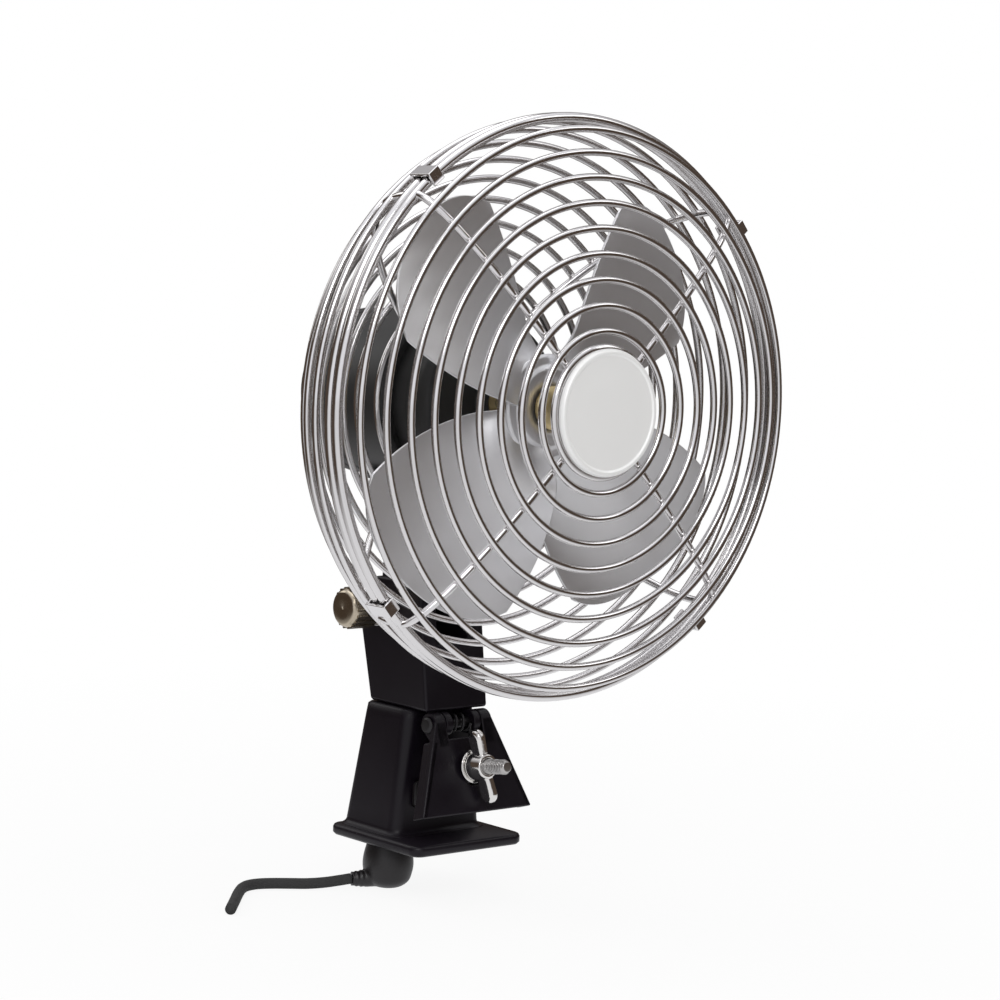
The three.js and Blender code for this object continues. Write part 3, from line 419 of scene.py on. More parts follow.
def round_rectangle(low: Point2, high: Point2, radius: float, steps: int = 6) -> list[Point2]:
    """A rectangle with round corners."""
    r = radius
    (x0, y0), (x1, y1) = (low[0] + r, low[1] + r), (high[0] - r, high[1] - r)
    return [p for k, corner in enumerate(((x1, y1), (x0, y1), (x0, y0), (x1, y0)))
            for p in arc(corner, r, 90 * k, 90 * (k + 1), steps)]


def tube(name: str, route: Sequence[Vector], radii: Sequence[float], sides: int) -> Object:
    """A round tube along a route, with closed ends.

    Args:
        name: The piece's name.
        route: Points on its middle line.
        radii: Its radius at each point.
        sides: Steps round it.

    Returns:
        The new object.
    """
    side = None
    rings = []
    for k, (point, radius) in enumerate(zip(route, radii)):
        way = (route[min(k + 1, len(route) - 1)] - route[max(k - 1, 0)]).normalized()
        side = way.orthogonal() if side is None else side - way * side.dot(way)
        side.normalize()
        other = way.cross(side)
        rings.append([point + (side * math.cos(a) + other * math.sin(a)) * radius
                      for a in (math.tau * i / sides for i in range(sides))])
    return loft(name, rings)


def smooth_route(points: Sequence[Vector], fine: int = 6) -> list[Vector]:
    """Points on a smooth curve through the given ones."""
    ends = [points[0] * 2 - points[1], *points, points[-1] * 2 - points[-2]]
    out = []
    for a, b, c, d in zip(ends, ends[1:], ends[2:], ends[3:]):
        for k in range(fine):
            t = k / fine
            out.append(0.5 * (2 * b + (c - a) * t + (2 * a - 5 * b + 4 * c - d) * t ** 2
                              + (3 * b - a - 3 * c + d) * t ** 3))
    return [*out, points[-1]]


def cut(obj: Object, *tools: Object) -> Object:
    """The object with the tools' shapes taken away; the tools are deleted."""
    for tool in tools:
        modified(obj, "BOOLEAN", operation="DIFFERENCE", solver="EXACT", object=tool)
        bpy.data.objects.remove(tool)
    return obj


def joined(name: str, *parts: Object) -> Object:
    """One object of several meshes; the parts are deleted."""
    work = bmesh.new()
    for part in parts:
        work.from_mesh(part.data)
        bpy.data.objects.remove(part)
    mesh = bpy.data.meshes.new(name)
    work.to_mesh(mesh)
    work.free()
    return new_object(name, mesh)


def blended(obj: Object, voxel: float, smoothing: int) -> Object:
    """Overlapping shapes fused into one skin with soft inner corners, as a casting has."""
    modified(obj, "REMESH", mode="VOXEL", voxel_size=voxel, use_smooth_shade=True)
    return modified(obj, "SMOOTH", factor=0.5, iterations=smoothing)


def frame_at(origin: Sequence[float], x: Sequence[float], y: Sequence[float]) -> Matrix:
    """The frame with its origin, X and Y given, and Z square to both."""
    ax, ay = Vector(x).normalized(), Vector(y).normalized()
    turn = Matrix((ax, ay, ax.cross(ay))).transposed().to_4x4()
    return Matrix.Translation(Vector(origin)) @ turn


# ---------------------------------------------------------------- shader groups

def blank(owner: bpy.types.Material | bpy.types.World) -> Tree:
    """The emptied node tree of a material or a world."""
    owner.use_nodes = True
    owner.node_tree.nodes.clear()
    return Tree(owner.node_tree)


class Effect(Enum):
    """The effects that several finishes share, each one node group."""

    GRAIN = "surface_grain"
    WEAR = "edge_wear"
    DUST = "dust"

    def on(self, t: Tree, **values: float) -> bpy.types.Node:
        """The effect in a material's tree, with a finish's own values.

        Args:
            t: The material's tree.
            **values: The group's inputs.

        Returns:
            The group's node in the material.
        """
        group = bpy.data.node_groups.get(self.value)
        if not group:
            group = bpy.data.node_groups.new(self.value, "ShaderNodeTree")
            for label in values:
                group.interface.new_socket(label, in_out="INPUT", socket_type="NodeSocketFloat")
            inner = Tree(group)
            given = inner.add("NodeGroupInput").outputs
            makers = {Effect.GRAIN: grain, Effect.WEAR: wear, Effect.DUST: dust}
            results = makers[self](inner, given)
            for label in results:
                group.interface.new_socket(label, in_out="OUTPUT", socket_type="NodeSocketFloat")
            inner.add("NodeGroupOutput", results)
        return t.add("ShaderNodeGroup", values, node_tree=group)


def grain(t: Tree, given: bpy.types.NodeOutputs) -> dict[str, Term]:
    """Fine moulded or ground grain: a height for a bump, and a slow patchiness."""
    place = t.here()
    x, y, z = t.parts(place)
    long = t.vector(x, y / given["Stretch"], z)
    return {"Height": t.one("ShaderNodeTexNoise", {"Vector": long, "Scale": given["Scale"],
                                                   "Detail": 3.0, "Roughness": 0.6}),
            "Patches": t.one("ShaderNodeTexNoise", {"Vector": place, "Scale": 38.0,
                                                    "Detail": 4.0})}


def wear(t: Tree, given: bpy.types.NodeOutputs) -> dict[str, Term]:
    """Where edges are rubbed: a mask from the sharpness of the surface, broken up."""
    sharp = t.add("ShaderNodeNewGeometry").outputs["Pointiness"]
    noise = t.one("ShaderNodeTexNoise", {"Vector": t.here(), "Scale": 240.0, "Detail": 5.0})
    mask = (t.spread(sharp, 0.51, 0.62) - noise * given["Broken"]) * given["Amount"]
    return {"Mask": t.math("MAXIMUM", mask, 0.0)}


def dust(t: Tree, given: bpy.types.NodeOutputs) -> dict[str, Term]:
    """Thin dust on what faces up: a mask from the surface's own slope."""
    up = t.parts(t.add("ShaderNodeNewGeometry").outputs["Normal"])[2]
    noise = t.one("ShaderNodeTexNoise", {"Vector": t.here(), "Scale": 120.0, "Detail": 6.0})
    return {"Mask": t.spread(up, 0.25, 1.0) * noise * given["Amount"]}


# ---------------------------------------------------------------- finishes

@dataclass(frozen=True)
class Finish:
    """A surface: its colours, how it shines, its grain, wear and dust."""

    name: str
    slot: str
    colour: Colour
    patch_colour: Colour
    roughness: float
    roughness_spread: float = 0.08
    metallic: float = 0.0
    grain_scale: float = 900.0
    grain_stretch: float = 1.0
    bump: float = 0.05
    bump_depth: float = 0.00004
    wear_colour: Colour = (0.6, 0.6, 0.6)
    wear: float = 0.0
    dust_colour: Colour = (0.42, 0.40, 0.37)
    dust: float = 0.0
    coat: float = 0.0
    specular: float = 0.5

    def material(self) -> bpy.types.Material:
        """The material, made when it is first asked for."""
        made = bpy.data.materials.get(self.name)
        if not made:
            made = bpy.data.materials.new(self.name)
            self.dress(blank(made))
        return made

    def dress(self, t: Tree) -> None:
        """Joins the effects to a surface shader in the material's tree."""
        grained = Effect.GRAIN.on(t, Scale=self.grain_scale, Stretch=self.grain_stretch).outputs
        worn = Effect.WEAR.on(t, Amount=self.wear, Broken=0.5).outputs["Mask"]
        dusted = Effect.DUST.on(t, Amount=self.dust).outputs["Mask"]
        base = t.mix(grained["Patches"], self.colour, self.patch_colour)
        colour = t.mix(dusted, t.mix(worn, base, self.wear_colour), self.dust_colour)
        patch = Term(t, grained["Patches"]) - 0.5
        rough = patch * (2 * self.roughness_spread) + self.roughness
        bump = t.one("ShaderNodeBump", {"Strength": self.bump, "Distance": self.bump_depth,
                                        "Height": grained["Height"]})
        shader = t.one("ShaderNodeBsdfPrincipled", {
            "Base Color": colour, "Roughness": rough + dusted, "Normal": bump,
            "Metallic": self.metallic, "Coat Weight": self.coat,
            "Specular IOR Level": self.specular})
        t.add("ShaderNodeOutputMaterial", {"Surface": shader})

    def cover(self, obj: Object) -> None:
        """Makes this the object's only material."""
        obj.data.materials.clear()
        obj.data.materials.append(self.material())


BLACK_PLASTIC = Finish("black_plastic", "clamp_plastic", (0.0055, 0.0038, 0.0065),
                       (0.009, 0.0065, 0.0105), 0.34, grain_scale=1500.0, bump=0.10,
                       wear=0.2, wear_colour=(0.05, 0.05, 0.055), dust=0.008, specular=0.22)
MOTOR_PAINT = Finish("motor_paint", "motor_paint", (0.005, 0.0042, 0.0058),
                     (0.008, 0.006, 0.008), 0.34, grain_scale=700.0, bump=0.15, dust=0.004,
                     specular=0.18)
CHROME_WIRE = Finish("chrome_wire", "chrome_wire", (0.80, 0.79, 0.79), (0.70, 0.67, 0.66),
                     0.14, metallic=1.0, grain_scale=500.0)
CHROME_CAST = Finish("chrome_cast", "chrome_cast", (0.83, 0.81, 0.80), (0.62, 0.57, 0.54),
                     0.16, metallic=1.0, grain_scale=320.0, bump=0.25, bump_depth=0.0001)
KNOB_CHROME = Finish("knob_chrome", "chrome_cast", (0.62, 0.55, 0.44), (0.42, 0.36, 0.27),
                     0.22, metallic=1.0, grain_scale=420.0, bump=0.2)
WHEEL_ALLOY = Finish("wheel_alloy", "wheel_alloy", (0.70, 0.65, 0.64), (0.50, 0.45, 0.43),
                     0.17, metallic=1.0, grain_scale=200.0, grain_stretch=3.0, bump=0.30,
                     bump_depth=0.00012)
STEEL = Finish("bright_steel", "steel", (0.58, 0.57, 0.56), (0.46, 0.45, 0.44), 0.28,
               metallic=1.0, bump=0.12)
BRASS = Finish("brass", "brass", (0.13, 0.10, 0.06), (0.08, 0.06, 0.04), 0.34, metallic=1.0,
               grain_scale=700.0, bump=0.1)
RUBBER = Finish("black_rubber", "rubber", (0.006, 0.0048, 0.006), (0.011, 0.009, 0.010), 0.40,
                grain_scale=1100.0, bump=0.2, dust=0.02)
BLACKED = Finish("blackened_steel", "steel", (0.05, 0.048, 0.05), (0.03, 0.029, 0.03), 0.42,
                 metallic=0.9, bump=0.15)
LEAD = Finish("lead_sheath", "lead_sheath", (0.005, 0.0045, 0.005), (0.010, 0.009, 0.009), 0.42,
              grain_scale=1600.0, bump=0.15)
ENAMEL = Finish("badge_enamel", "badge_enamel", (0.91, 0.91, 0.90), (0.87, 0.87, 0.88), 0.30,
                grain_scale=1300.0, bump=0.04, coat=0.4)
FERRITE = Finish("ferrite", "magnet", (0.035, 0.034, 0.036), (0.06, 0.058, 0.06), 0.70,
                 grain_scale=1200.0, bump=0.3)
CARBON = Finish("brush_carbon", "carbon", (0.03, 0.03, 0.03), (0.05, 0.05, 0.05), 0.6,
                grain_scale=1500.0, bump=0.3)


def put(obj: Object, body: str, finish: Finish, node: str) -> None:
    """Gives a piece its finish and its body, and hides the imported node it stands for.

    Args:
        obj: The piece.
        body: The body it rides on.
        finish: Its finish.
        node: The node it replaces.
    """
    finish.cover(obj)
    for polygon in obj.data.polygons:
        polygon.material_index = 0
    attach(obj, body)
    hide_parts(node)
    LOG.info("%s rides on %s", obj.name, body)


# ---------------------------------------------------------------- studio

@dataclass
class Viewpoint:
    """Where the photograph was taken from, fitted to its measured points."""

    azimuth: float = 40.45           # degrees from straight ahead, towards -X
    elevation: float = 4.93
    roll: float = 2.15
    distance: float = 0.9
    aside: float = 14.7 * MM         # how far right of the origin the middle of the view is
    height: float = 97.4 * MM
    focal_pixels: float = 2753.4     # for an image 1000 pixels wide
    image_pixels: float = 1000.0
    sensor: float = 36.0

    def build(self) -> None:
        """The camera, set as the scene's camera."""
        a, e, r = (math.radians(v) for v in (self.azimuth, self.elevation, self.roll))
        back = Vector((-math.sin(a) * math.cos(e), -math.cos(a) * math.cos(e), math.sin(e)))
        right = Vector((math.cos(a), -math.sin(a), 0))
        rolled = right * math.cos(r) + back.cross(right) * math.sin(r)
        middle = right * self.aside + Vector((0, 0, self.height))
        camera = bpy.data.cameras.new("view")
        camera.sensor_width = self.sensor
        camera.lens = self.focal_pixels / self.image_pixels * self.sensor
        obj = new_object("view", camera)
        obj.matrix_world = frame_at(middle + back * self.distance, rolled, back.cross(rolled))
        bpy.context.scene.camera = obj


@dataclass
class Studio:
    """A plain white room: a floor, four soft lamps and a white surround.

    Metal sees it dark but for a white table, a ceiling and a screen round the viewer.
    """

    floor_size: float = 12.0
    floor_tones: Span = (0.80, 0.82)
    floor_shade: float = 0.10        # how much of the floor's look is real light and shadow
    shade_reach: Span = (0.12, 0.5)  # where the floor starts and ends to pass into white
    table: Colour = (0.85, 0.85, 0.87)
    table_reach: Span = (0.12, 0.42)  # how far the table goes on in reflections
    dark: Colour = (0.075, 0.055, 0.043)
    bright: Colour = (0.96, 0.96, 1.0)
    screen_edge: Span = (0.60, 0.86)
    screen_light: float = 0.9
    ceiling_edge: Span = (0.40, 0.85)
    room_light: float = 0.7          # the room's strength as light on the fan
    aim: Point3 = (0, -30 * MM, 100 * MM)
    lamps: tuple = (
        # name, place, size, watts
        ("key", (-0.75, -0.95, 0.95), 0.7, 6.0),
        ("fill", (0.95, -0.85, 0.95), 0.5, 1.2),
        ("top", (0.05, 0.15, 1.25), 1.0, 3.0),
        ("back", (-0.45, 1.1, 0.7), 0.6, 1.5),
    )

    def floor(self) -> None:
        """The floor, just under the lead."""
        z, s = CAD_BOX[0].z, self.floor_size
        mesh = bpy.data.meshes.new("floor")
        mesh.from_pydata([(-s, -s, z), (s, -s, z), (s, s, z), (-s, s, z)], [], [(0, 1, 2, 3)])
        white = bpy.data.materials.new("floor_white")
        t = blank(white)
        place = t.here()
        flat = t.one("ShaderNodeVectorMath", {0: place, 1: (1, 1, 0)}, operation="MULTIPLY")
        far = t.add("ShaderNodeVectorMath", {0: flat}, operation="LENGTH").outputs["Value"]
        way = t.one("ShaderNodeVectorMath", {0: flat}, operation="NORMALIZE")
        noise = t.one("ShaderNodeTexNoise", {"Vector": place, "Scale": 3.0})
        matt = t.one("ShaderNodeBsdfDiffuse", {"Color": t.spread(noise, 0, 1, *self.floor_tones)})
        hidden = (1.0 - self.screen(t, way)) * t.spread(far, *self.table_reach)
        look = t.mix(self.mirrors(t), WHITE, t.mix(hidden, self.table, self.dark))
        glow = t.one("ShaderNodeEmission", {"Color": look, "Strength": 1.0})
        near = t.spread(far, *self.shade_reach, self.floor_shade, 0.0)
        both = t.one("ShaderNodeMixShader", {0: self.seen(t) * (1.0 - near), 1: matt, 2: glow})
        t.add("ShaderNodeOutputMaterial", {"Surface": both}, is_active_output=True)
        mesh.materials.append(white)
        new_object("floor", mesh)

    def mirrors(self, t: Tree) -> Term:
        """One for rays that come off metal or through glass."""
        path = t.add("ShaderNodeLightPath").outputs
        return (Term(t, path["Is Glossy Ray"]) + path["Is Transmission Ray"]).most(1.0)

    def seen(self, t: Tree) -> Term:
        """One for rays that show the room: straight, mirrored or through glass."""
        path = t.add("ShaderNodeLightPath").outputs
        return (self.mirrors(t) + path["Is Camera Ray"]).most(1.0)

    def screen(self, t: Tree, way: object) -> Term:
        """How far a way out of the room meets the white screen round the viewer."""
        a = math.radians(Viewpoint().azimuth)
        x, y, _ = t.parts(way)
        facing = x * -math.sin(a) + y * -math.cos(a)
        return t.spread(facing, *self.screen_edge, 0.0, self.screen_light)

    def surround(self) -> None:
        """The white room."""
        world = bpy.data.worlds.new("room")
        bpy.context.scene.world = world
        t = blank(world)
        way = t.add("ShaderNodeTexCoord").outputs["Generated"]
        ceiling = t.spread(t.parts(way)[2], *self.ceiling_edge)
        lit = t.math("MAXIMUM", self.screen(t, way), ceiling)
        room = t.mix(self.mirrors(t), WHITE, t.mix(lit, self.dark, self.bright))
        strength = self.seen(t) * (1.0 - self.room_light) + self.room_light
        light = t.one("ShaderNodeBackground", {"Color": room, "Strength": strength})
        t.add("ShaderNodeOutputWorld", {"Surface": light})

    def build(self) -> None:
        """The whole studio, with soft square lamps that face the fan."""
        self.floor()
        self.surround()
        for name, place, size, watts in self.lamps:
            data = bpy.data.lights.new(name, "AREA")
            data.energy, data.size = watts, size
            obj = new_object(name, data)
            obj.location = place
            way = Vector(self.aim) - Vector(place)
            obj.rotation_euler = way.to_track_quat("-Z", "Y").to_euler()
        bpy.context.scene.view_settings.view_transform = "Standard"


# ---------------------------------------------------------------- lead

@dataclass
class Lead:
    """The lead and the rubber gland it leaves by."""

    radius: float = 1.8 * MM
    gland_x: float = -10 * MM
    gland_y: float = 16 * MM
    gland_r: float = 8.6 * MM
    under_z: float = -17.3 * MM
    neck_r: float = 4.6 * MM
    neck_tall: float = 6.0 * MM
    turn: float = 70.0               # degrees from +Y towards -X
    nose_long: float = 4 * MM
    nose_r: float = 2.9 * MM
    nose_taper: float = 0.6 * MM
    ribs: int = 3
    rib_tall: float = 0.25 * MM
    # the route on the surface, in millimetres: x, y and lift
    route: tuple = (
        (-22.2, 20.4, 1.3), (-26.2, 21.9, 0.8), (-30.6, 23.8, 0.3), (-35.4, 26.4, 0),
        (-40.4, 29.6, 0), (-45.2, 32.6, 0), (-49.8, 34.4, 0), (-54.2, 34.0, 0),
        (-58.0, 31.6, 0), (-61.6, 28.0, 0), (-65.2, 24.0, 0), (-69.0, 19.6, 0),
        (-73.2, 14.8, 0), (-77.4, 10.0, 0),
    )

    def cord(self) -> None:
        """The lead, from the gland to its cut end."""
        base = CAD_BOX[0].z + self.radius
        path = smooth_route([Vector((x * MM, y * MM, base + lift * MM))
                             for x, y, lift in self.route])
        obj = tube("lead", path, [self.radius] * len(path), 18)
        put(obj, "clamp", LEAD, "cord")

    def gland(self) -> Object:
        """The rubber bulb under the foot, with a tapered nose round the lead."""
        r, low, under, neck = self.gland_r, CAD_BOX[0].z, self.under_z, self.neck_r
        mid = (under + low) / 2
        profile = [(0, low), (r * 0.50, low), (r * 0.86, low + 2.2 * MM), (r, mid - 1 * MM),
                   (r * 0.97, mid + 2.5 * MM), (r * 0.80, under), (neck, under),
                   (neck, under + self.neck_tall), (0, under + self.neck_tall)]
        upright = Matrix.Translation((self.gland_x, self.gland_y, 0))
        bulb = turned("bulb", profile, upright, 64, 1.6 * MM)
        a = math.radians(self.turn)
        way = Vector((-math.sin(a), math.cos(a), 0))
        start = Vector((self.gland_x, self.gland_y, low + 3.0 * MM))
        # the nose narrows towards the lead in a few soft ribs
        long, hidden, steps = r + self.nose_long, r * 0.9, 24
        route, radii = [], []
        for k in range(steps + 1):
            along = long * k / steps
            out = max(0.0, (along - hidden) / (long - hidden))
            rib = self.rib_tall * math.cos(out * self.ribs * math.tau)
            route.append(start + way * along)
            radii.append(self.nose_r - self.nose_taper * out + rib * min(1.0, out * 4))
        return blended(joined("gland", bulb, tube("nose", route, radii, 24)), 0.35 * MM, 5)

    def build(self) -> None:
        """The lead and its gland."""
        self.cord()
        put(self.gland(), "clamp", RUBBER, "cord_gland")


# ---------------------------------------------------------------- fan head

@dataclass
class Head:
    """Where the fan's axis and widest ring are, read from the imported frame."""

    axis_z: float = field(init=False)
    ring_y: float = field(init=False)
    rim_r: float = 1.6 * MM

    def __post_init__(self) -> None:
        """Reads the front guard's box."""
        low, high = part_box("front_guard")
        self.axis_z = (low.z + high.z) / 2
        self.ring_y = high.y - self.rim_r

    def centre(self) -> Matrix:
        """The frame at the middle of the widest ring, turned as the world is."""
        return Matrix.Translation((0, self.ring_y, self.axis_z))

    def shift(self, obj: Object) -> Object:
        """Moves a mesh made about the origin to the fan's axis."""
        obj.data.transform(self.centre())
        return obj

    def axis(self) -> Matrix:
        """The frame on the axis at the widest ring, with Z pointing back."""
        return self.centre() @ frame_at((0, 0, 0), *BACK)


@dataclass
class Cage:
    """One half of the wire guard: rings, a rim and spokes on a domed form."""

    head: Head
    name: str
    direction: float                 # -1 bulges forward, 1 back
    depth: float
    squareness: float
    offset: float
    inner_r: float
    rings: int
    spoke_start: float
    guard_r: float = 90 * MM
    wire_r: float = 1.15 * MM
    spoke_r: float = 1.2 * MM
    spokes: int = 4
    fine: int = 160                  # steps of the profile that the rings are placed on

    @property
    def inset(self) -> float:
        """How far a spoke's middle lies inside the rings' middles."""
        return self.wire_r + 0.6 * self.spoke_r

    def build(self) -> Object:
        """The guard's wires as one piece."""
        g = Recipe(self.name, {
            "Rings": self.rings, "Inner radius": self.inner_r, "Guard radius": self.guard_r,
            "Depth": self.depth * self.direction, "Squareness": self.squareness,
            "Offset": self.offset, "Wire radius": self.wire_r,
            "Rim wire radius": self.head.rim_r, "Spokes": self.spokes,
            "Spoke wire radius": self.spoke_r, "Spoke start": self.spoke_start,
            "Spoke inset": -self.direction * self.inset})
        power, whole = g.input("Squareness"), g.input("Guard radius")

        def form(radius: Term) -> Term:
            """How far the form stands from the rim at a radius."""
            rest = g.math("MAXIMUM", 1.0 - (radius / whole) ** power, 0.0)
            return rest ** (1.0 / power) * g.input("Depth") + g.input("Offset")

        def laid(curve: Term, count: object, place: Term) -> Term:
            """A curve of so many points, each moved to its place."""
            points = g.one("GeometryNodeResampleCurve", {"Curve": curve, "Count": count})
            return g.one("GeometryNodeSetPosition", {"Geometry": points, "Position": place})

        share = Term(g, g.add("GeometryNodeSplineParameter").outputs["Factor"])
        line = g.one("GeometryNodeCurvePrimitiveLine")

        # seats for the rings at even steps along the form's profile, without its two ends
        inner = g.input("Inner radius")
        radius = inner + (share * QUARTER).cos() * (whole - inner)
        seats = g.one("GeometryNodeResampleCurve", {
            "Curve": laid(line, self.fine, g.vector(radius, form(radius))),
            "Count": g.input("Rings") + 2})
        between = g.math("LESS_THAN", abs(share - 0.5), 0.499)
        # a unit ring that touches its own seat, so that scaling it keeps it on the axis
        ring = g.one("GeometryNodeCurvePrimitiveCircle", {"Resolution": 144, "Radius": 1.0})
        ring = g.one("GeometryNodeTransform", {
            "Geometry": ring, "Translation": (-1, 0, 0), "Rotation": (QUARTER, 0, 0)})
        reach = g.parts(g.one("GeometryNodeInputPosition"))[0]
        rings = g.copies(seats, ring, Selection=between, Scale=g.vector(reach, reach, reach))

        rim = g.one("GeometryNodeCurvePrimitiveCircle", {"Resolution": 144, "Radius": whole})
        rim = g.one("GeometryNodeTransform", {
            "Geometry": rim, "Translation": g.vector(y=g.input("Offset")),
            "Rotation": (QUARTER, 0, 0)})

        # a spoke lies under the rings, and ends in the middle of the rim
        start = g.input("Spoke start")
        out = start + (share * QUARTER).sin() * (whole - start)
        under = g.input("Spoke inset") * (1.0 - share ** 10.0)
        spoke = laid(line, 40, g.vector(out, form(out) + under))
        spokes = g.around(spoke, g.input("Spokes"), math.pi / 4)

        return self.head.shift(g.make(
            self.name, CHROME_WIRE, g.wire(rings, g.input("Wire radius"), 10),
            g.wire(rim, g.input("Rim wire radius"), 14),
            g.wire(spokes, g.input("Spoke wire radius"), 10)))


@dataclass
class Guard:
    """Both halves of the guard with the centre plate, the badge, the flange and the clips."""

    head: Head
    guard_r: float = 90 * MM
    dome_tall: float = 16 * MM
    dome_squareness: float = 2.6
    cage_deep: float = 55 * MM
    cage_squareness: float = 2.05
    cage_start: float = 3.5 * MM     # how far the rear rim is behind the front one
    rings: int = 9                   # in each half
    spoke_in: float = 3 * MM         # how far the spokes go on inside the plate or the flange
    badge_r: float = 20.2 * MM
    badge_thick: float = 1.6 * MM
    plate_thick: float = 1.2 * MM
    flange_r: float = 35 * MM
    flange_bore: float = 28.3 * MM
    flange_thick: float = 2 * MM
    gap: float = 0.3 * MM
    clip_wide: float = 4.5 * MM
    clip_thick: float = 1 * MM
    clip_aside: float = 5.0          # degrees from the spokes
    clips: int = 4

    def rise(self, radius: float, power: float) -> float:
        """The share of a dome's depth that is left at a radius."""
        return (1 - (radius / self.guard_r) ** power) ** (1 / power)

    def front(self) -> Object:
        """The front dome of rings with the plate that carries the badge."""
        power, start = self.dome_squareness, self.badge_r - self.spoke_in
        full = self.dome_tall / self.rise(self.badge_r, power)
        wires = Cage(self.head, "front_wires", -1, full, power, 0.0, start, self.rings,
                     start).build()
        r, y, p = self.badge_r, -self.dome_tall, self.plate_thick
        # a pressed dish with a rolled edge
        profile = [(0, y - p), (r - 0.6 * MM, y - p), (r + 0.6 * MM, y - 0.7 * p),
                   (r + 1.2 * MM, y), (r + 0.7 * MM, y + 0.8 * p), (r - 0.4 * MM, y + p),
                   (r - 1.6 * MM, y + 0.4 * p), (0, y + 0.4 * p)]
        plate = turned("plate", profile, self.head.axis(), 96, 0.5 * MM)
        return joined("front_guard_wires", wires, plate)

    def rear(self) -> Object:
        """The rear basket with its flange round the motor."""
        power, a, b = self.cage_squareness, self.flange_bore, self.flange_r
        cage = Cage(self.head, "rear_wires", 1, self.cage_deep, power, self.cage_start, b,
                    self.rings, b - self.spoke_in)
        y0 = self.cage_deep * self.rise(b, power) + self.cage_start - cage.inset
        y1 = y0 + self.flange_thick
        profile = [(a, y0), (b - 1 * MM, y0), (b, y0 + 0.5 * MM), (b, y1 - 0.5 * MM),
                   (b - 1 * MM, y1), (a + 3 * MM, y1), (a, y1), (a, y0)]
        wires = cage.build()
        flange = turned("flange", profile, self.head.axis(), 96, 0.4 * MM)
        return joined("rear_guard_wires", wires, flange)

    def badge(self) -> Object:
        """The round bare badge: a crowned enamel face in a thin raised rim."""
        back, r = -self.dome_tall - self.plate_thick - self.gap, self.badge_r - 0.4 * MM
        y = back - self.badge_thick
        profile = [(0, y - 0.3 * MM), (r * 0.5, y - 0.25 * MM), (r - 2.2 * MM, y + 0.15 * MM),
                   (r - 1.6 * MM, y - 0.35 * MM), (r - 0.6 * MM, y - 0.2 * MM),
                   (r, back - self.badge_thick * 0.5), (r, back), (0, back)]
        return turned("badge_disc", profile, self.head.axis(), 96, 0.3 * MM)

    def clip(self, k: int) -> Object:
        """A spring clip that holds the two rims together, with curled ends."""
        rim, t = self.head.rim_r, self.clip_thick
        inside, out = self.guard_r - rim, self.guard_r + rim + self.gap
        y0, y1 = -rim - self.gap, 3 * rim + 2 * self.gap
        outline = [(inside, y0 - t), (out + t, y0 - t), (out + t, y1 + t), (inside, y1 + t),
                   (inside, y1), (out, y1), (out, y0), (inside, y0)]
        a = math.radians(45 + self.clip_aside + 360 * k / self.clips)
        place = (self.head.centre() @ Matrix.Rotation(a, 4, "Y")
                 @ Matrix.Translation((0, 0, -self.clip_wide / 2)))
        return prism(f"rim_clip_{k + 1}", outline, place, self.clip_wide, 0.3 * MM)

    def build(self) -> None:
        """The whole guard."""
        put(self.front(), "head", CHROME_WIRE, "front_guard")
        put(self.rear(), "head", CHROME_WIRE, "rear_guard")
        put(self.badge(), "head", ENAMEL, "badge")
        for k in range(self.clips):
            put(self.clip(k), "head", CHROME_WIRE, f"guard_clip_{k + 1}")


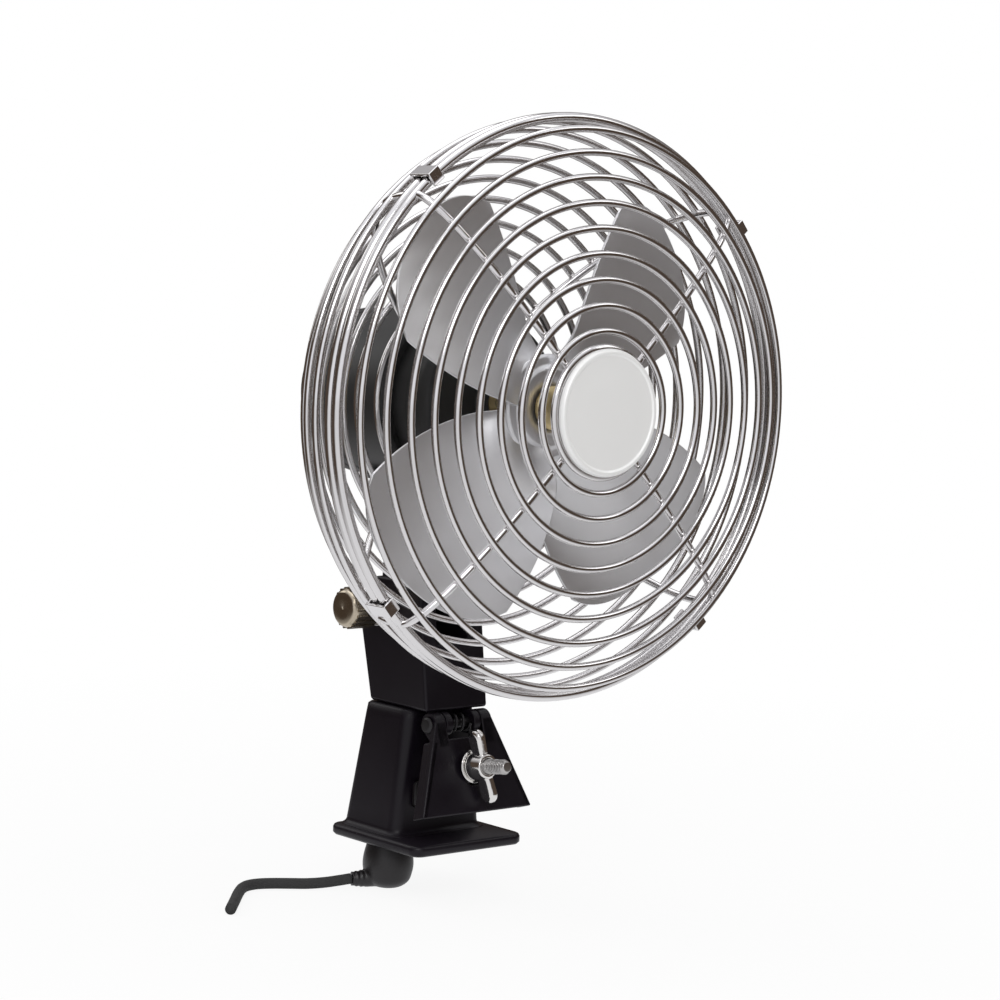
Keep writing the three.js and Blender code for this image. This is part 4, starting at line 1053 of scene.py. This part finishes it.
@dataclass
class Wheel:
    """The pressed wheel of twisted blades, and its hub."""

    head: Head
    blades: int = 4
    tip_r: float = 75 * MM
    root_r: float = 12 * MM
    plane_y: float = 10 * MM
    thick: float = 0.9 * MM
    root_arc: float = 43.0           # half arcs and pitches in degrees
    tip_arc: float = 27.0
    root_pitch: float = 34.0
    tip_pitch: float = 15.0
    twist: float = 0.9               # share of the pitch that the pressing keeps
    corner: float = 9 * MM
    corner_power: float = 3.2
    camber: float = 3 * MM
    disc_r: float = 17 * MM
    disc_bore: float = 4.2 * MM
    disc_thick: float = 1.6 * MM
    hub_r: float = 7 * MM
    hub_bore: float = 2.1 * MM
    hub_long: float = 12 * MM
    gap: float = 0.3 * MM

    def sheets(self) -> Object:
        """The blades: a flat grid laid along the twisted form, turned about the axis."""
        g = Recipe("twisted_blades", {
            "Blades": self.blades, "Tip radius": self.tip_r, "Root radius": self.root_r,
            "Corner": self.corner, "Camber": self.camber, "Plane": self.plane_y,
            "Root half arc": math.radians(self.root_arc),
            "Tip half arc": math.radians(self.tip_arc),
            "Root pitch": math.radians(self.root_pitch),
            "Tip pitch": math.radians(self.tip_pitch)})
        grid = g.one("GeometryNodeMeshGrid", {"Size X": 1.0, "Size Y": 1.0, "Vertices X": 49,
                                              "Vertices Y": 41})
        x, y, _ = g.parts(g.one("GeometryNodeInputPosition"))
        across, out = x * 2.0, y + 0.5

        def grown(start: str, end: str) -> Term:
            """A size that changes evenly from the root to the tip."""
            return g.input(start) + (g.input(end) - g.input(start)) * out

        turn = across * grown("Root half arc", "Tip half arc")
        tip = g.input("Tip radius") - abs(across) ** self.corner_power * g.input("Corner")
        radius = g.input("Root radius") + (tip - g.input("Root radius")) * out
        lean = ((out * 4.0).most(1.0) * QUARTER).sin()
        twist = radius * turn * grown("Root pitch", "Tip pitch").tan() * lean * self.twist
        crown = (1.0 - across * across) * out * g.input("Camber")
        place = g.vector(radius * turn.cos(), crown - twist + g.input("Plane"),
                         radius * turn.sin())
        laid = g.one("GeometryNodeSetPosition", {"Geometry": grid, "Position": place})
        obj = g.make("blades", WHEEL_ALLOY, g.around(laid, g.input("Blades"), math.pi / 4))
        modified(obj, "SOLIDIFY", thickness=self.thick, offset=0.0)
        return self.head.shift(bevelled(obj, 0.25 * MM, 2, 50))

    def disc(self) -> Object:
        """The pressed centre that carries the blades."""
        y, t, r, bore = self.plane_y, self.disc_thick, self.disc_r, self.disc_bore
        profile = [(bore, y - t), (r * 0.72, y - t), (r * 0.80, y - 0.3 * t),
                   (r * 0.94, y - 0.3 * t), (r, y + 0.3 * t), (r * 0.94, y + t),
                   (bore, y + t), (bore, y - t)]
        return turned("disc", profile, self.head.axis(), 72, 0.5 * MM)

    def hub(self) -> Object:
        """The turned hub with a chamfered nose, a groove and a bore for the shaft."""
        front = self.plane_y - self.disc_thick - self.gap
        back = self.plane_y + self.disc_thick + self.gap
        r, neck, bore, end = self.hub_r, self.hub_r * 0.55, self.hub_bore, back + self.hub_long
        profile = [(bore, front - 1 * MM), (0, front - 1 * MM), (0, front - 3 * MM),
                   (r * 0.6, front - 3 * MM), (r * 0.86, front - 2.2 * MM),
                   (r, front - 1.4 * MM), (r, front), (neck, front), (neck, back), (r, back),
                   (r, end), (bore, end), (bore, front - 1 * MM)]
        return turned("wheel_hub", profile, self.head.axis(), 64, 0.35 * MM)

    def build(self) -> None:
        """The wheel and its hub."""
        wheel = joined("wheel_blades", self.sheets(), self.disc())
        put(wheel, "rotor", WHEEL_ALLOY, "fan_wheel")
        put(self.hub(), "rotor", BRASS, "fan_hub")


@dataclass
class Motor:
    """The motor's drawn can and its vented cap."""

    head: Head
    radius: float = 28 * MM
    front_y: float = 36 * MM
    back_y: float = 106 * MM
    cap_deep: float = 10 * MM
    cap_round: float = 5 * MM
    wall: float = 1.8 * MM
    bush_r: float = 5.1 * MM
    nose_long: float = 3 * MM
    bead_deep: float = 0.7 * MM
    vents: int = 6
    vent_half: float = 1.5 * MM
    gap: float = 0.3 * MM

    def can(self) -> Object:
        """The can, with a stepped nose and two rolled beads."""
        r, f, back = self.radius, self.front_y, self.back_y - self.cap_deep - self.gap
        bush, b, inside, tip = self.bush_r, self.bead_deep, r - self.wall, f - self.nose_long
        outer = [(bush, tip), (bush + 1.4 * MM, tip), (bush + 2.9 * MM, f), (r - 4 * MM, f),
                 (r - 1.2 * MM, f + 1.2 * MM), (r, f + 4 * MM)]
        for bead in (f + 9 * MM, back - 5 * MM):
            outer += [(r, bead - 1.2 * MM), (r - b, bead - 0.5 * MM), (r - b, bead + 0.5 * MM),
                      (r, bead + 1.2 * MM)]
        front = f + self.wall
        inner = [(r, back), (inside, back), (inside, front + 3 * MM), (inside - 2 * MM, front),
                 (bush, front), (bush, tip)]
        return turned("motor_can", softened(outer + inner, 0.6 * MM, 3), self.head.axis(), 96)

    def cap(self) -> Object:
        """The cap, with slots round its bush and a raised boss."""
        r, front, back, bush = self.radius, self.back_y - self.cap_deep, self.back_y, self.bush_r
        inside, corner = r - self.wall - self.gap, self.cap_round
        edge = arc((r - corner, back - corner), corner, 0, 90, 10)
        profile = [(0, back - 2.4 * MM), (bush, back - 2.4 * MM), (bush, front + 2.2 * MM),
                   (inside - 1.4 * MM, front + 2.2 * MM), (inside - 1.4 * MM, front - 3 * MM),
                   (inside, front - 3 * MM), (inside, front), (r, front), *edge, (0, back)]
        tools = []
        slot = round_rectangle((bush + 6 * MM, -self.vent_half),
                               (r - corner - 1 * MM, self.vent_half), 1.4 * MM)
        for k in range(self.vents):
            place = (self.head.centre()
                     @ Matrix.Rotation(math.tau * (k + 0.5) / self.vents, 4, "Y")
                     @ frame_at((0, front - 1 * MM, 0), *BACK))
            tools.append(prism(f"slot_{k}", slot, place, self.cap_deep + 3 * MM))
        cap = cut(turned("motor_end_cap", profile, self.head.axis(), 96), *tools)
        return bevelled(cap, 0.25 * MM, 2, 50)

    def build(self) -> None:
        """The can and the cap."""
        put(self.can(), "head", MOTOR_PAINT, "motor_housing")
        put(self.cap(), "head", MOTOR_PAINT, "motor_cap")


# ---------------------------------------------------------------- neck

@dataclass
class Hinge:
    """The tilt hinge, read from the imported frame: its axis runs along X."""

    y: float = field(init=False)
    z: float = field(init=False)

    def __post_init__(self) -> None:
        """Reads the knob's box."""
        low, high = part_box("tilt_knob")
        self.y, self.z = (low.y + high.y) / 2, (low.z + high.z) / 2

    def out(self, x: float, side: int = 1) -> Matrix:
        """The frame on the hinge's axis at x, with Z pointing out to one side."""
        return frame_at((x, self.y, self.z), (0, 1, 0), (0, 0, side))


@dataclass
class Neck:
    """The turning neck with its two ears, the tilt screw, its knob and the head's lug."""

    head: Head
    hinge: Hinge
    half_x: float = 13 * MM
    front_y: float = -5 * MM
    back_y: float = 25 * MM
    foot_z: float = 28.3 * MM
    top_r: float = 10 * MM
    top_front_y: float = 0.0
    shoulder: float = 5 * MM
    slot_half: float = 6.4 * MM
    slot_low: float = 10 * MM        # below the hinge
    beyond: float = 60 * MM          # how far tools reach past what they cut
    post_r: float = 5 * MM
    post_long: float = 13 * MM
    swivel_y: float = 11.7 * MM
    lug_half: float = 6 * MM
    lug_r: float = 8.5 * MM
    lug_waist: float = 6.8 * MM
    motor_r: float = 28 * MM
    saddle_thick: float = 2.3 * MM
    saddle_drop: float = 9 * MM
    saddle_rise: float = 11 * MM
    saddle_long: float = 20 * MM
    saddle_arc: float = 30.0         # degrees to each side
    bolt_r: float = 2.5 * MM
    washer_r: float = 6.5 * MM
    washer_thick: float = 1 * MM
    knob_r: float = 6.8 * MM
    knob_long: float = 13.5 * MM
    knob_ridges: int = 18
    gap: float = 0.3 * MM

    def column(self) -> Object:
        """The neck: a rounded column with a slot between its ears, and a post."""
        h, r, e, reach, z0 = self.hinge, self.top_r, self.shoulder, self.beyond, self.foot_z
        outline = ([(self.front_y, z0), (self.back_y, z0), (h.y + r, h.z - r / 2)]
                   + arc((h.y, h.z), r, 0, 90, 16)
                   + arc((self.top_front_y + e, h.z + r - e), e, 90, 180, 12))
        body = prism("column", outline, frame_at((-self.half_x, 0, 0), *RIGHT),
                     2 * self.half_x)
        half, low = self.slot_half, h.z - self.slot_low
        slot = [(-half, low), (half, low), (half, h.z + reach), (-half, h.z + reach)]
        through = prism("slot", slot, frame_at((0, h.y + reach, 0), *FORWARD), 2 * reach)
        body = bevelled(cut(body, through), 1.1 * MM, 4)
        r, low, top = self.post_r, z0 - self.post_long, z0 + 1 * MM
        post = turned("post", [(0, low), (r, low), (r, top), (0, top)],
                      Matrix.Translation((0, self.swivel_y, 0)), 48, 0.5 * MM)
        return joined("neck_column", body, post)

    def lug(self) -> Object:
        """The lug under the motor: a waisted plate that spreads into a curved saddle."""
        h, axis_z, half = self.hinge, self.head.axis_z, self.saddle_long / 2
        under = axis_z - self.motor_r
        low, high = under - self.saddle_drop, under + self.saddle_rise
        outline = (arc((h.y, h.z), self.lug_r, 180, 360, 24)
                   + [(h.y + self.lug_waist, low), (h.y + half, high),
                      (h.y - half, high), (h.y - self.lug_waist, low)])
        plate = prism("lug_plate", outline, frame_at((-self.lug_half, 0, 0), *RIGHT),
                      2 * self.lug_half, 1.0 * MM)
        r, centre = self.motor_r + self.gap, (0, axis_z)
        left, right = -90 - self.saddle_arc, -90 + self.saddle_arc
        shell = (arc(centre, r + self.saddle_thick, left, right, 24)
                 + arc(centre, r, right, left, 24))
        saddle = prism("saddle", shell, frame_at((0, h.y + half, 0), *FORWARD),
                       self.saddle_long, 0.5 * MM)
        near, far = -self.beyond, 160 * MM
        bed = turned("bed", [(0, near), (r, near), (r, far), (0, far)], self.head.axis(), 128)
        return joined("motor_lug", cut(plate, bed), saddle)

    def screw(self) -> Object:
        """The tilt screw with its domed head on the right."""
        x, r = self.half_x + 2 * self.gap + self.washer_thick, self.bolt_r
        head = [(0, 0), (2 * r, 0), (1.95 * r, 1.2 * MM), (1.5 * r, 2.6 * MM),
                (0.9 * r, 3.3 * MM), (0, 3.4 * MM)]
        dome = turned("dome", head, self.hinge.out(x), 48, 0.6 * MM)
        tip = x + self.knob_long * 0.7
        end = tip + x + 0.5 * MM
        shaft = turned("shaft", [(0, 0), (r, 0), (r, end), (0, end)], self.hinge.out(-tip), 40)
        return joined("tilt_screw", shaft, dome)

    def washer(self, side: int) -> Object:
        """A washer on one side of the neck."""
        a, b, t = self.bolt_r + 0.2 * MM, self.washer_r, self.washer_thick
        name = "washer_right" if side > 0 else "washer_left"
        return turned(name, [(a, 0), (b, 0), (b, t), (a, t), (a, 0)],
                      self.hinge.out(side * (self.half_x + self.gap), side), 56, 0.25 * MM)

    def knob(self) -> Object:
        """The metal knob: a domed barrel with ridges that a recipe lays round it."""
        r, t, bore = self.knob_r, self.knob_long, self.bolt_r + 0.1 * MM
        place = self.hinge.out(-self.half_x - 2 * self.gap - self.washer_thick, -1)
        profile = [(bore, 0), (r * 0.62, 0), (r * 0.62, 1.5 * MM), (r * 0.9, 1.7 * MM),
                   (r * 0.95, 2.4 * MM), (r * 0.95, t - 1.6 * MM), (r * 0.82, t - 0.3 * MM),
                   (r * 0.5, t), (0, t - 0.2 * MM), (0, t * 0.72), (bore, t * 0.72), (bore, 0)]
        barrel = turned("barrel", profile, place, 72, 0.7 * MM)
        g = Recipe("knob_ridges", {"Ridges": self.knob_ridges, "Radius": r * 0.95,
                                   "Ridge radius": 0.5 * MM, "Start": 2.6 * MM,
                                   "End": t - 1.7 * MM})
        line = g.one("GeometryNodeCurvePrimitiveLine", {
            end: g.vector(g.input("Radius"), g.input(end)) for end in ("Start", "End")})
        bars = g.around(line, g.input("Ridges"), 0.0)
        ridges = g.make("ridges", KNOB_CHROME, g.wire(bars, g.input("Ridge radius"), 8))
        # the recipe lays them about Y; the knob's own axis is the hinge's
        ridges.data.transform(place @ Matrix.Rotation(QUARTER, 4, "X"))
        return joined("knurled_knob", barrel, ridges)

    def build(self) -> None:
        """The neck and all that is on its tilt screw."""
        put(self.column(), "neck", BLACK_PLASTIC, "neck")
        put(self.lug(), "head", BLACK_PLASTIC, "head_bracket")
        put(self.screw(), "neck", STEEL, "tilt_bolt")
        put(self.washer(-1), "neck", STEEL, "tilt_washer_left")
        put(self.washer(1), "neck", STEEL, "tilt_washer_right")
        put(self.knob(), "knob", KNOB_CHROME, "tilt_knob")


# ---------------------------------------------------------------- clamp

@dataclass
class Clamp:
    """The clamp: a flared body on a foot plate, a hinged jaw, its pads and its screw."""

    top_z: float = 28 * MM
    foot_top_z: float = -13.4 * MM
    foot_thick: float = 3.6 * MM
    top_half_x: float = 14.6 * MM
    low_half_x: float = 18.5 * MM
    front_y: float = 2.3 * MM
    top_back_y: float = 26.5 * MM
    low_back_y: float = 31 * MM
    foot_half_x: float = 23 * MM
    foot_front_y: float = -14.7 * MM
    foot_back_y: float = 32.4 * MM
    corner: float = 4.2 * MM
    edge: float = 0.6 * MM
    foot_corner: float = 4 * MM
    fillet: float = 2.2 * MM
    fillet_back: float = 1.4 * MM
    pad_thick: float = 2 * MM
    pad_tall: float = 9 * MM
    pad_wide: float = 24 * MM
    pad_ribs: int = 5
    hinge_y: float = -5 * MM
    hinge_z: float = 24 * MM
    knuckle_r: float = 4 * MM
    knuckle_in: float = 4.4 * MM
    knuckle_out: float = 7.2 * MM
    pin_r: float = 1.6 * MM
    pin_head_r: float = 2.8 * MM
    pin_head_tall: float = 1.2 * MM
    slant: float = 17.0              # degrees
    jaw_thick: float = 2.4 * MM
    jaw_lip: float = 3.2 * MM
    jaw_long: float = 30 * MM
    jaw_top_half: float = 11.8 * MM
    jaw_low_half: float = 23 * MM
    spring_r: float = 2.7 * MM
    spring_turns: float = 2.5
    spring_wire: float = 0.5 * MM
    bolt_r: float = 2.4 * MM
    bolt_tilt: float = 8.0           # degrees
    bolt_z: float = 11 * MM
    bolt_tip_y: float = -31.5 * MM
    bolt_head_r: float = 5 * MM
    thread_pitch: float = 0.8 * MM
    thread_back: float = 4 * MM      # how far the thread goes on behind the jaw's face
    washer_r: float = 5.6 * MM
    washer_thick: float = 1.0 * MM
    washer_cone: float = 0.8 * MM
    hub_r: float = 4.8 * MM
    hub_long: float = 6.5 * MM
    wing_span: float = 25 * MM
    wing_tall: float = 6.4 * MM
    wing_thick: float = 3.4 * MM
    wing_lean: float = 0.4 * MM
    wing_turn: float = 102.0         # degrees
    gap: float = 0.3 * MM

    def hinge(self) -> Matrix:
        """The frame on the jaw's pin, with Z along it."""
        return frame_at((0, self.hinge_y, self.hinge_z), *RIGHT)

    def jaw(self) -> Matrix:
        """The jaw's own frame: its hinge at the origin, X across, Y back, hanging along -Z."""
        return (Matrix.Translation((0, self.hinge_y, self.hinge_z))
                @ Matrix.Rotation(-math.radians(self.slant), 4, "X"))

    @property
    def bolt_y(self) -> float:
        """Where the bolt leaves the jaw's outer face."""
        s = math.radians(self.slant)
        return (self.hinge_y - (self.hinge_z - self.bolt_z) * math.tan(s)
                - self.knuckle_r / math.cos(s))

    def bolt(self) -> Matrix:
        """The bolt's frame: Z runs forward along it from the jaw's outer face."""
        return (Matrix.Translation((0, self.bolt_y, self.bolt_z))
                @ Matrix.Rotation(-math.radians(self.bolt_tilt), 4, "X")
                @ frame_at((0, 0, 0), *FORWARD))

    def section(self, z: float, half: float, y0: float, y1: float, r: float,
                steps: int = 8) -> list:
        """One level of the body or the foot as a rounded rectangle."""
        return [(x, y, z) for x, y in round_rectangle((-half, y0), (half, y1), r, steps)]

    def body(self) -> Object:
        """The body: it flares down, and a fillet runs out of it into the foot plate."""
        front, corner, e, steps = self.front_y, self.corner, self.edge, 10
        rings = []
        for k in range(steps + 1):
            t = k / steps
            z = self.top_z + (self.foot_top_z + self.fillet - self.top_z) * t
            half = self.top_half_x + (self.low_half_x - self.top_half_x) * t
            back = self.top_back_y + (self.low_back_y - self.top_back_y) * t
            if k == 0:
                rings.append(self.section(z, half - e, front + e, back - e, corner))
                z -= e
            rings.append(self.section(z, half, front, back, corner))
        low, steps = rings[-1][0][2], 5
        for k in range(1, steps + 1):
            a = QUARTER * k / steps
            out, down = self.fillet * (1 - math.cos(a)), self.fillet * math.sin(a)
            back = self.low_back_y + min(out, self.fillet_back)
            rings.append(self.section(low - down, self.low_half_x + out, front - out, back,
                                      corner + out))
        z0, z1 = self.foot_top_z - self.foot_thick, self.foot_top_z
        plates = [self.section(z, self.foot_half_x - inset, self.foot_front_y + inset,
                               self.foot_back_y - inset, self.foot_corner - inset, 12)
                  for z, inset in ((z1, 1.0 * MM), (z1 - 0.3 * MM, 0.4 * MM),
                                   (z1 - 1.0 * MM, 0.0), (z0 + 0.8 * MM, 0.0), (z0, 0.8 * MM))]
        parts = [loft("body", rings), loft("foot", plates)]
        r, inner = self.knuckle_r, front + 1 * MM
        outline = [(inner, self.hinge_z + r),
                   *arc((self.hinge_y, self.hinge_z), r, 90, 270, 16), (inner, self.hinge_z - r)]
        for name, x in (("knuckle_left", -self.knuckle_out), ("knuckle_right", self.knuckle_in)):
            parts.append(prism(name, outline, frame_at((x, 0, 0), *RIGHT),
                               self.knuckle_out - self.knuckle_in, 0.4 * MM))
        return joined("clamp_shell", *parts)

    def jaw_plate(self) -> Object:
        """The jaw: a flared plate with side lips, ears round the pin and a slot."""
        m, r, t, s = self.jaw(), self.knuckle_r, self.jaw_thick, math.radians(self.slant)
        top, low, long, ear_x = (self.jaw_top_half, self.jaw_low_half, self.jaw_long,
                                 self.knuckle_out + self.gap)
        outline = [(-top, 0.2 * r), (-low, -long), (low, -long), (top, 0.2 * r)]
        plate = prism("plate", outline, m @ frame_at((0, -r + t, 0), *FORWARD), t)
        sill = -r - 4 * self.gap
        window = [(-ear_x, sill), (ear_x, sill), (ear_x, 2 * r), (-ear_x, 2 * r)]
        # the slot is longer than the bolt is thick, below more than above, as the jaw swings
        slot_r = self.bolt_r + 0.5 * MM
        slot_z = -(self.hinge_z - self.bolt_z) / math.cos(s) - r * math.tan(s)
        slot = round_rectangle((-slot_r, slot_z - slot_r - 3.4 * MM),
                               (slot_r, slot_z + slot_r + 1.36 * MM), slot_r * 0.98, 8)
        deep = m @ frame_at((0, r, 0), *FORWARD)
        plate = cut(plate, prism("window", window, deep, 3 * r), prism("slot", slot, deep, 3 * r))
        parts = [bevelled(plate, 0.6 * MM)]
        ear = [*arc((0, 0), r, 0, 180, 16), (-r, -2 * r), (-r + 3 * MM, -2 * r), (r, -0.5 * MM)]
        for side, x in ((-1, -top), (1, ear_x)):
            lip = [(side * (top - z * (low - top) / long - k * t), z) for z, k in
                   ((-1.4 * r, 1), (-long, 1), (-long, 0), (-1.4 * r, 0))]
            place = m @ frame_at((0, -r + t + self.jaw_lip, 0), *FORWARD)
            parts.append(prism("lip", lip, place, t + self.jaw_lip, 0.6 * MM))
            parts.append(prism("ear", ear, m @ frame_at((x, 0, 0), *RIGHT), top - ear_x,
                               0.4 * MM))
        return joined("jaw_plate", *parts)

    def pad(self, name: str, place: Matrix) -> Object:
        """A ribbed rubber pad in a frame whose X-Y plane is its back."""
        half, tall, t = self.pad_wide / 2, self.pad_tall, self.pad_thick
        base = prism(name + "_base", round_rectangle((-half, 0), (half, tall), 2 * MM), place,
                     t * 0.7, 0.2 * MM)
        g = Recipe(name + "_ribs", {"Ribs": self.pad_ribs, "Long": 2 * half - 3 * MM,
                                    "Tall": tall - 2 * MM, "Rib radius": t * 0.28})
        seats = g.one("GeometryNodeMeshLine", {
            "Count": g.input("Ribs"), "Start Location": g.vector(y=1 * MM),
            "Offset": g.vector(y=g.input("Tall") / (g.input("Ribs") - 1.0))})
        line = g.one("GeometryNodeCurvePrimitiveLine", {
            "Start": g.vector(g.input("Long") * -0.5), "End": g.vector(g.input("Long") * 0.5)})
        ribs = g.make(name + "_bars", RUBBER,
                      g.wire(g.copies(seats, line), g.input("Rib radius"), 10))
        ribs.data.transform(place @ Matrix.Translation((0, 0, t * 0.7)))
        return joined(name, base, ribs)

    def pin(self) -> Object:
        """The jaw's pin with two riveted heads."""
        end = self.jaw_top_half + self.gap
        r, head, t = self.pin_r, self.pin_head_r, self.pin_head_tall
        half = [(r, end), (head, end), (head, end + t * 0.4), (head * 0.7, end + t), (0, end + t)]
        profile = [(x, -y) for x, y in reversed(half)] + half
        return turned("hinge_pin", profile, self.hinge(), 40, 0.3 * MM)

    def coil(self, name: str, radius: float, turns: float, long: float, wire: float,
             steps: int, sides: int) -> Object:
        """A helix of wire about Z, from 0.

        Args:
            name: The recipe's name.
            radius: From the axis to the wire's middle.
            turns: How many turns.
            long: How long it is.
            wire: The wire's radius.
            steps: Steps in each turn.
            sides: Sides of the wire's section.

        Returns:
            The new object.
        """
        g = Recipe(name, {"Turns": turns, "Radius": radius, "Long": long, "Wire radius": wire})
        line = g.one("GeometryNodeCurveSpiral", {
            "Resolution": steps, "Rotations": g.input("Turns"), "Height": g.input("Long"),
            "Start Radius": g.input("Radius"), "End Radius": g.input("Radius")})
        return g.make(name, STEEL, g.wire(line, g.input("Wire radius"), sides))

    def spring(self) -> Object:
        """The torsion spring: a coil round the pin and two legs."""
        r, wire = self.spring_r, self.spring_wire
        half = self.knuckle_in - wire - self.gap
        made = self.coil("spring_coil", r, self.spring_turns, 2 * half, wire, 32, 10)
        made.data.transform(self.hinge() @ Matrix.Translation((0, 0, -half)))
        legs = []
        for x, y, long in ((-half, r, 12 * MM), (half, -r, 4.6 * MM)):
            top = Vector((x, self.hinge_y + y, self.hinge_z))
            legs.append(tube("leg", [top, top - Vector((0, 0, long))], [wire] * 2, 10))
        return joined("hinge_spring", made, *legs)

    def screw(self) -> Object:
        """The clamp bolt: its rod, its thread, and the head behind the body."""
        m, r, head = self.bolt(), self.bolt_r, self.bolt_head_r
        tip = self.bolt_y - self.bolt_tip_y
        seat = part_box("clamp_bolt")[1].y - self.bolt_y
        back = -seat / math.cos(math.radians(self.bolt_tilt))
        profile = [(0, back), (head * 0.4, back), (head * 0.8, back + 0.8 * MM),
                   (head, back + 2.6 * MM), (r * 0.92, back + 2.6 * MM), (r * 0.92, tip - 1 * MM),
                   (r * 0.7, tip), (0, tip)]
        rod = turned("rod", profile, m, 48, 0.3 * MM)
        long = tip - 1 * MM + self.thread_back
        thread = self.coil("bolt_thread", r * 0.9, long / self.thread_pitch, long, 0.3 * MM, 28, 4)
        thread.data.transform(m @ Matrix.Translation((0, 0, -self.thread_back)))
        return joined("clamp_screw", rod, thread)

    def washer(self) -> Object:
        """The thick washer with a conical underside."""
        a, b, z = self.bolt_r + 0.2 * MM, self.washer_r, self.gap + 0.35 * MM
        top = self.gap + self.washer_thick + self.washer_cone
        profile = [(a, z), (a + 0.9 * MM, z), (b, z + self.washer_cone), (b, top), (a, top),
                   (a, z)]
        return turned("cone_washer", profile, self.bolt(), 56, 0.35 * MM)

    def wing_nut(self) -> Object:
        """The cast wing nut: two leaning wings fused to a waisted hub with a bore."""
        near = 2 * self.gap + self.washer_thick + self.washer_cone
        far, r, bore = near + self.hub_long, self.hub_r, self.bolt_r + 0.1 * MM
        profile = [(bore, near), (r, near), (r, near + self.hub_long * 0.35), (r * 0.80, far),
                   (bore, far), (bore, near)]
        parts = [turned("nut_hub", profile, Matrix.Identity(4), 64, 0.5 * MM)]
        half, root, wide = self.wing_tall / 2, r * 0.62, self.wing_thick
        centre = (self.wing_span / 2 - half, near + self.wing_lean + half)
        outline = [(root, near + self.gap), *arc(centre, half, -90, 90, 20),
                   (root, far - self.gap)]
        for turn in (math.pi, 0.0):
            place = Matrix.Rotation(turn, 4, "Z") @ frame_at((0, wide / 2, 0), *FORWARD)
            parts.append(prism("wing", outline, place, wide, 1.4 * MM))
        nut = blended(joined("wing_casting", *parts), 0.22 * MM, 6)
        nut.data.transform(self.bolt() @ Matrix.Rotation(math.radians(self.wing_turn), 4, "Z"))
        return nut

    def build(self) -> None:
        """The whole clamp."""
        rear = frame_at((0, self.pad_thick, -self.pad_tall / 2), *FORWARD)
        face = -self.knuckle_r + self.jaw_thick + self.gap
        front = self.jaw() @ frame_at((0, face, -self.jaw_long + 1 * MM), (-1, 0, 0), (0, 0, 1))
        put(self.body(), "clamp", BLACK_PLASTIC, "clamp_body")
        put(self.jaw_plate(), "jaw", BLACK_PLASTIC, "front_jaw")
        put(self.pad("pad_fixed", rear), "clamp", RUBBER, "rear_pad")
        put(self.pad("pad_moving", front), "jaw", RUBBER, "front_pad")
        put(self.pin(), "clamp", BLACKED, "jaw_pin")
        put(self.spring(), "clamp", BLACKED, "jaw_spring")
        put(self.screw(), "clamp", STEEL, "clamp_bolt")
        put(self.washer(), "washer", CHROME_CAST, "nut_washer")
        put(self.wing_nut(), "nut", CHROME_CAST, "wing_nut")


# ---------------------------------------------------------------- inner pieces

INNER_FINISHES: dict[str, Finish] = {
    "post_clip": STEEL, "front_bush": BRASS, "rear_bush": BRASS, "magnet_left": FERRITE,
    "magnet_right": FERRITE, "brush_left": CARBON, "brush_right": CARBON, "motor_shaft": STEEL,
    "armature": STEEL, "commutator": BRASS, "hub_set_screw": STEEL,
}


def dress_inner_pieces() -> None:
    """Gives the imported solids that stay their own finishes."""
    for node, finish in INNER_FINISHES.items():
        finish.cover(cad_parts[node])
        LOG.info("%s is dressed as %s", node, finish.name)


def main() -> None:
    """Builds the scene in order."""
    logging.basicConfig(level=logging.INFO, format="%(message)s")
    Viewpoint().build()
    Lead().build()
    Studio().build()
    head = Head()
    Guard(head).build()
    Wheel(head).build()
    Motor(head).build()
    Neck(head, Hinge()).build()
    Clamp().build()
    dress_inner_pieces()


if __name__ == "__main__":
    main()
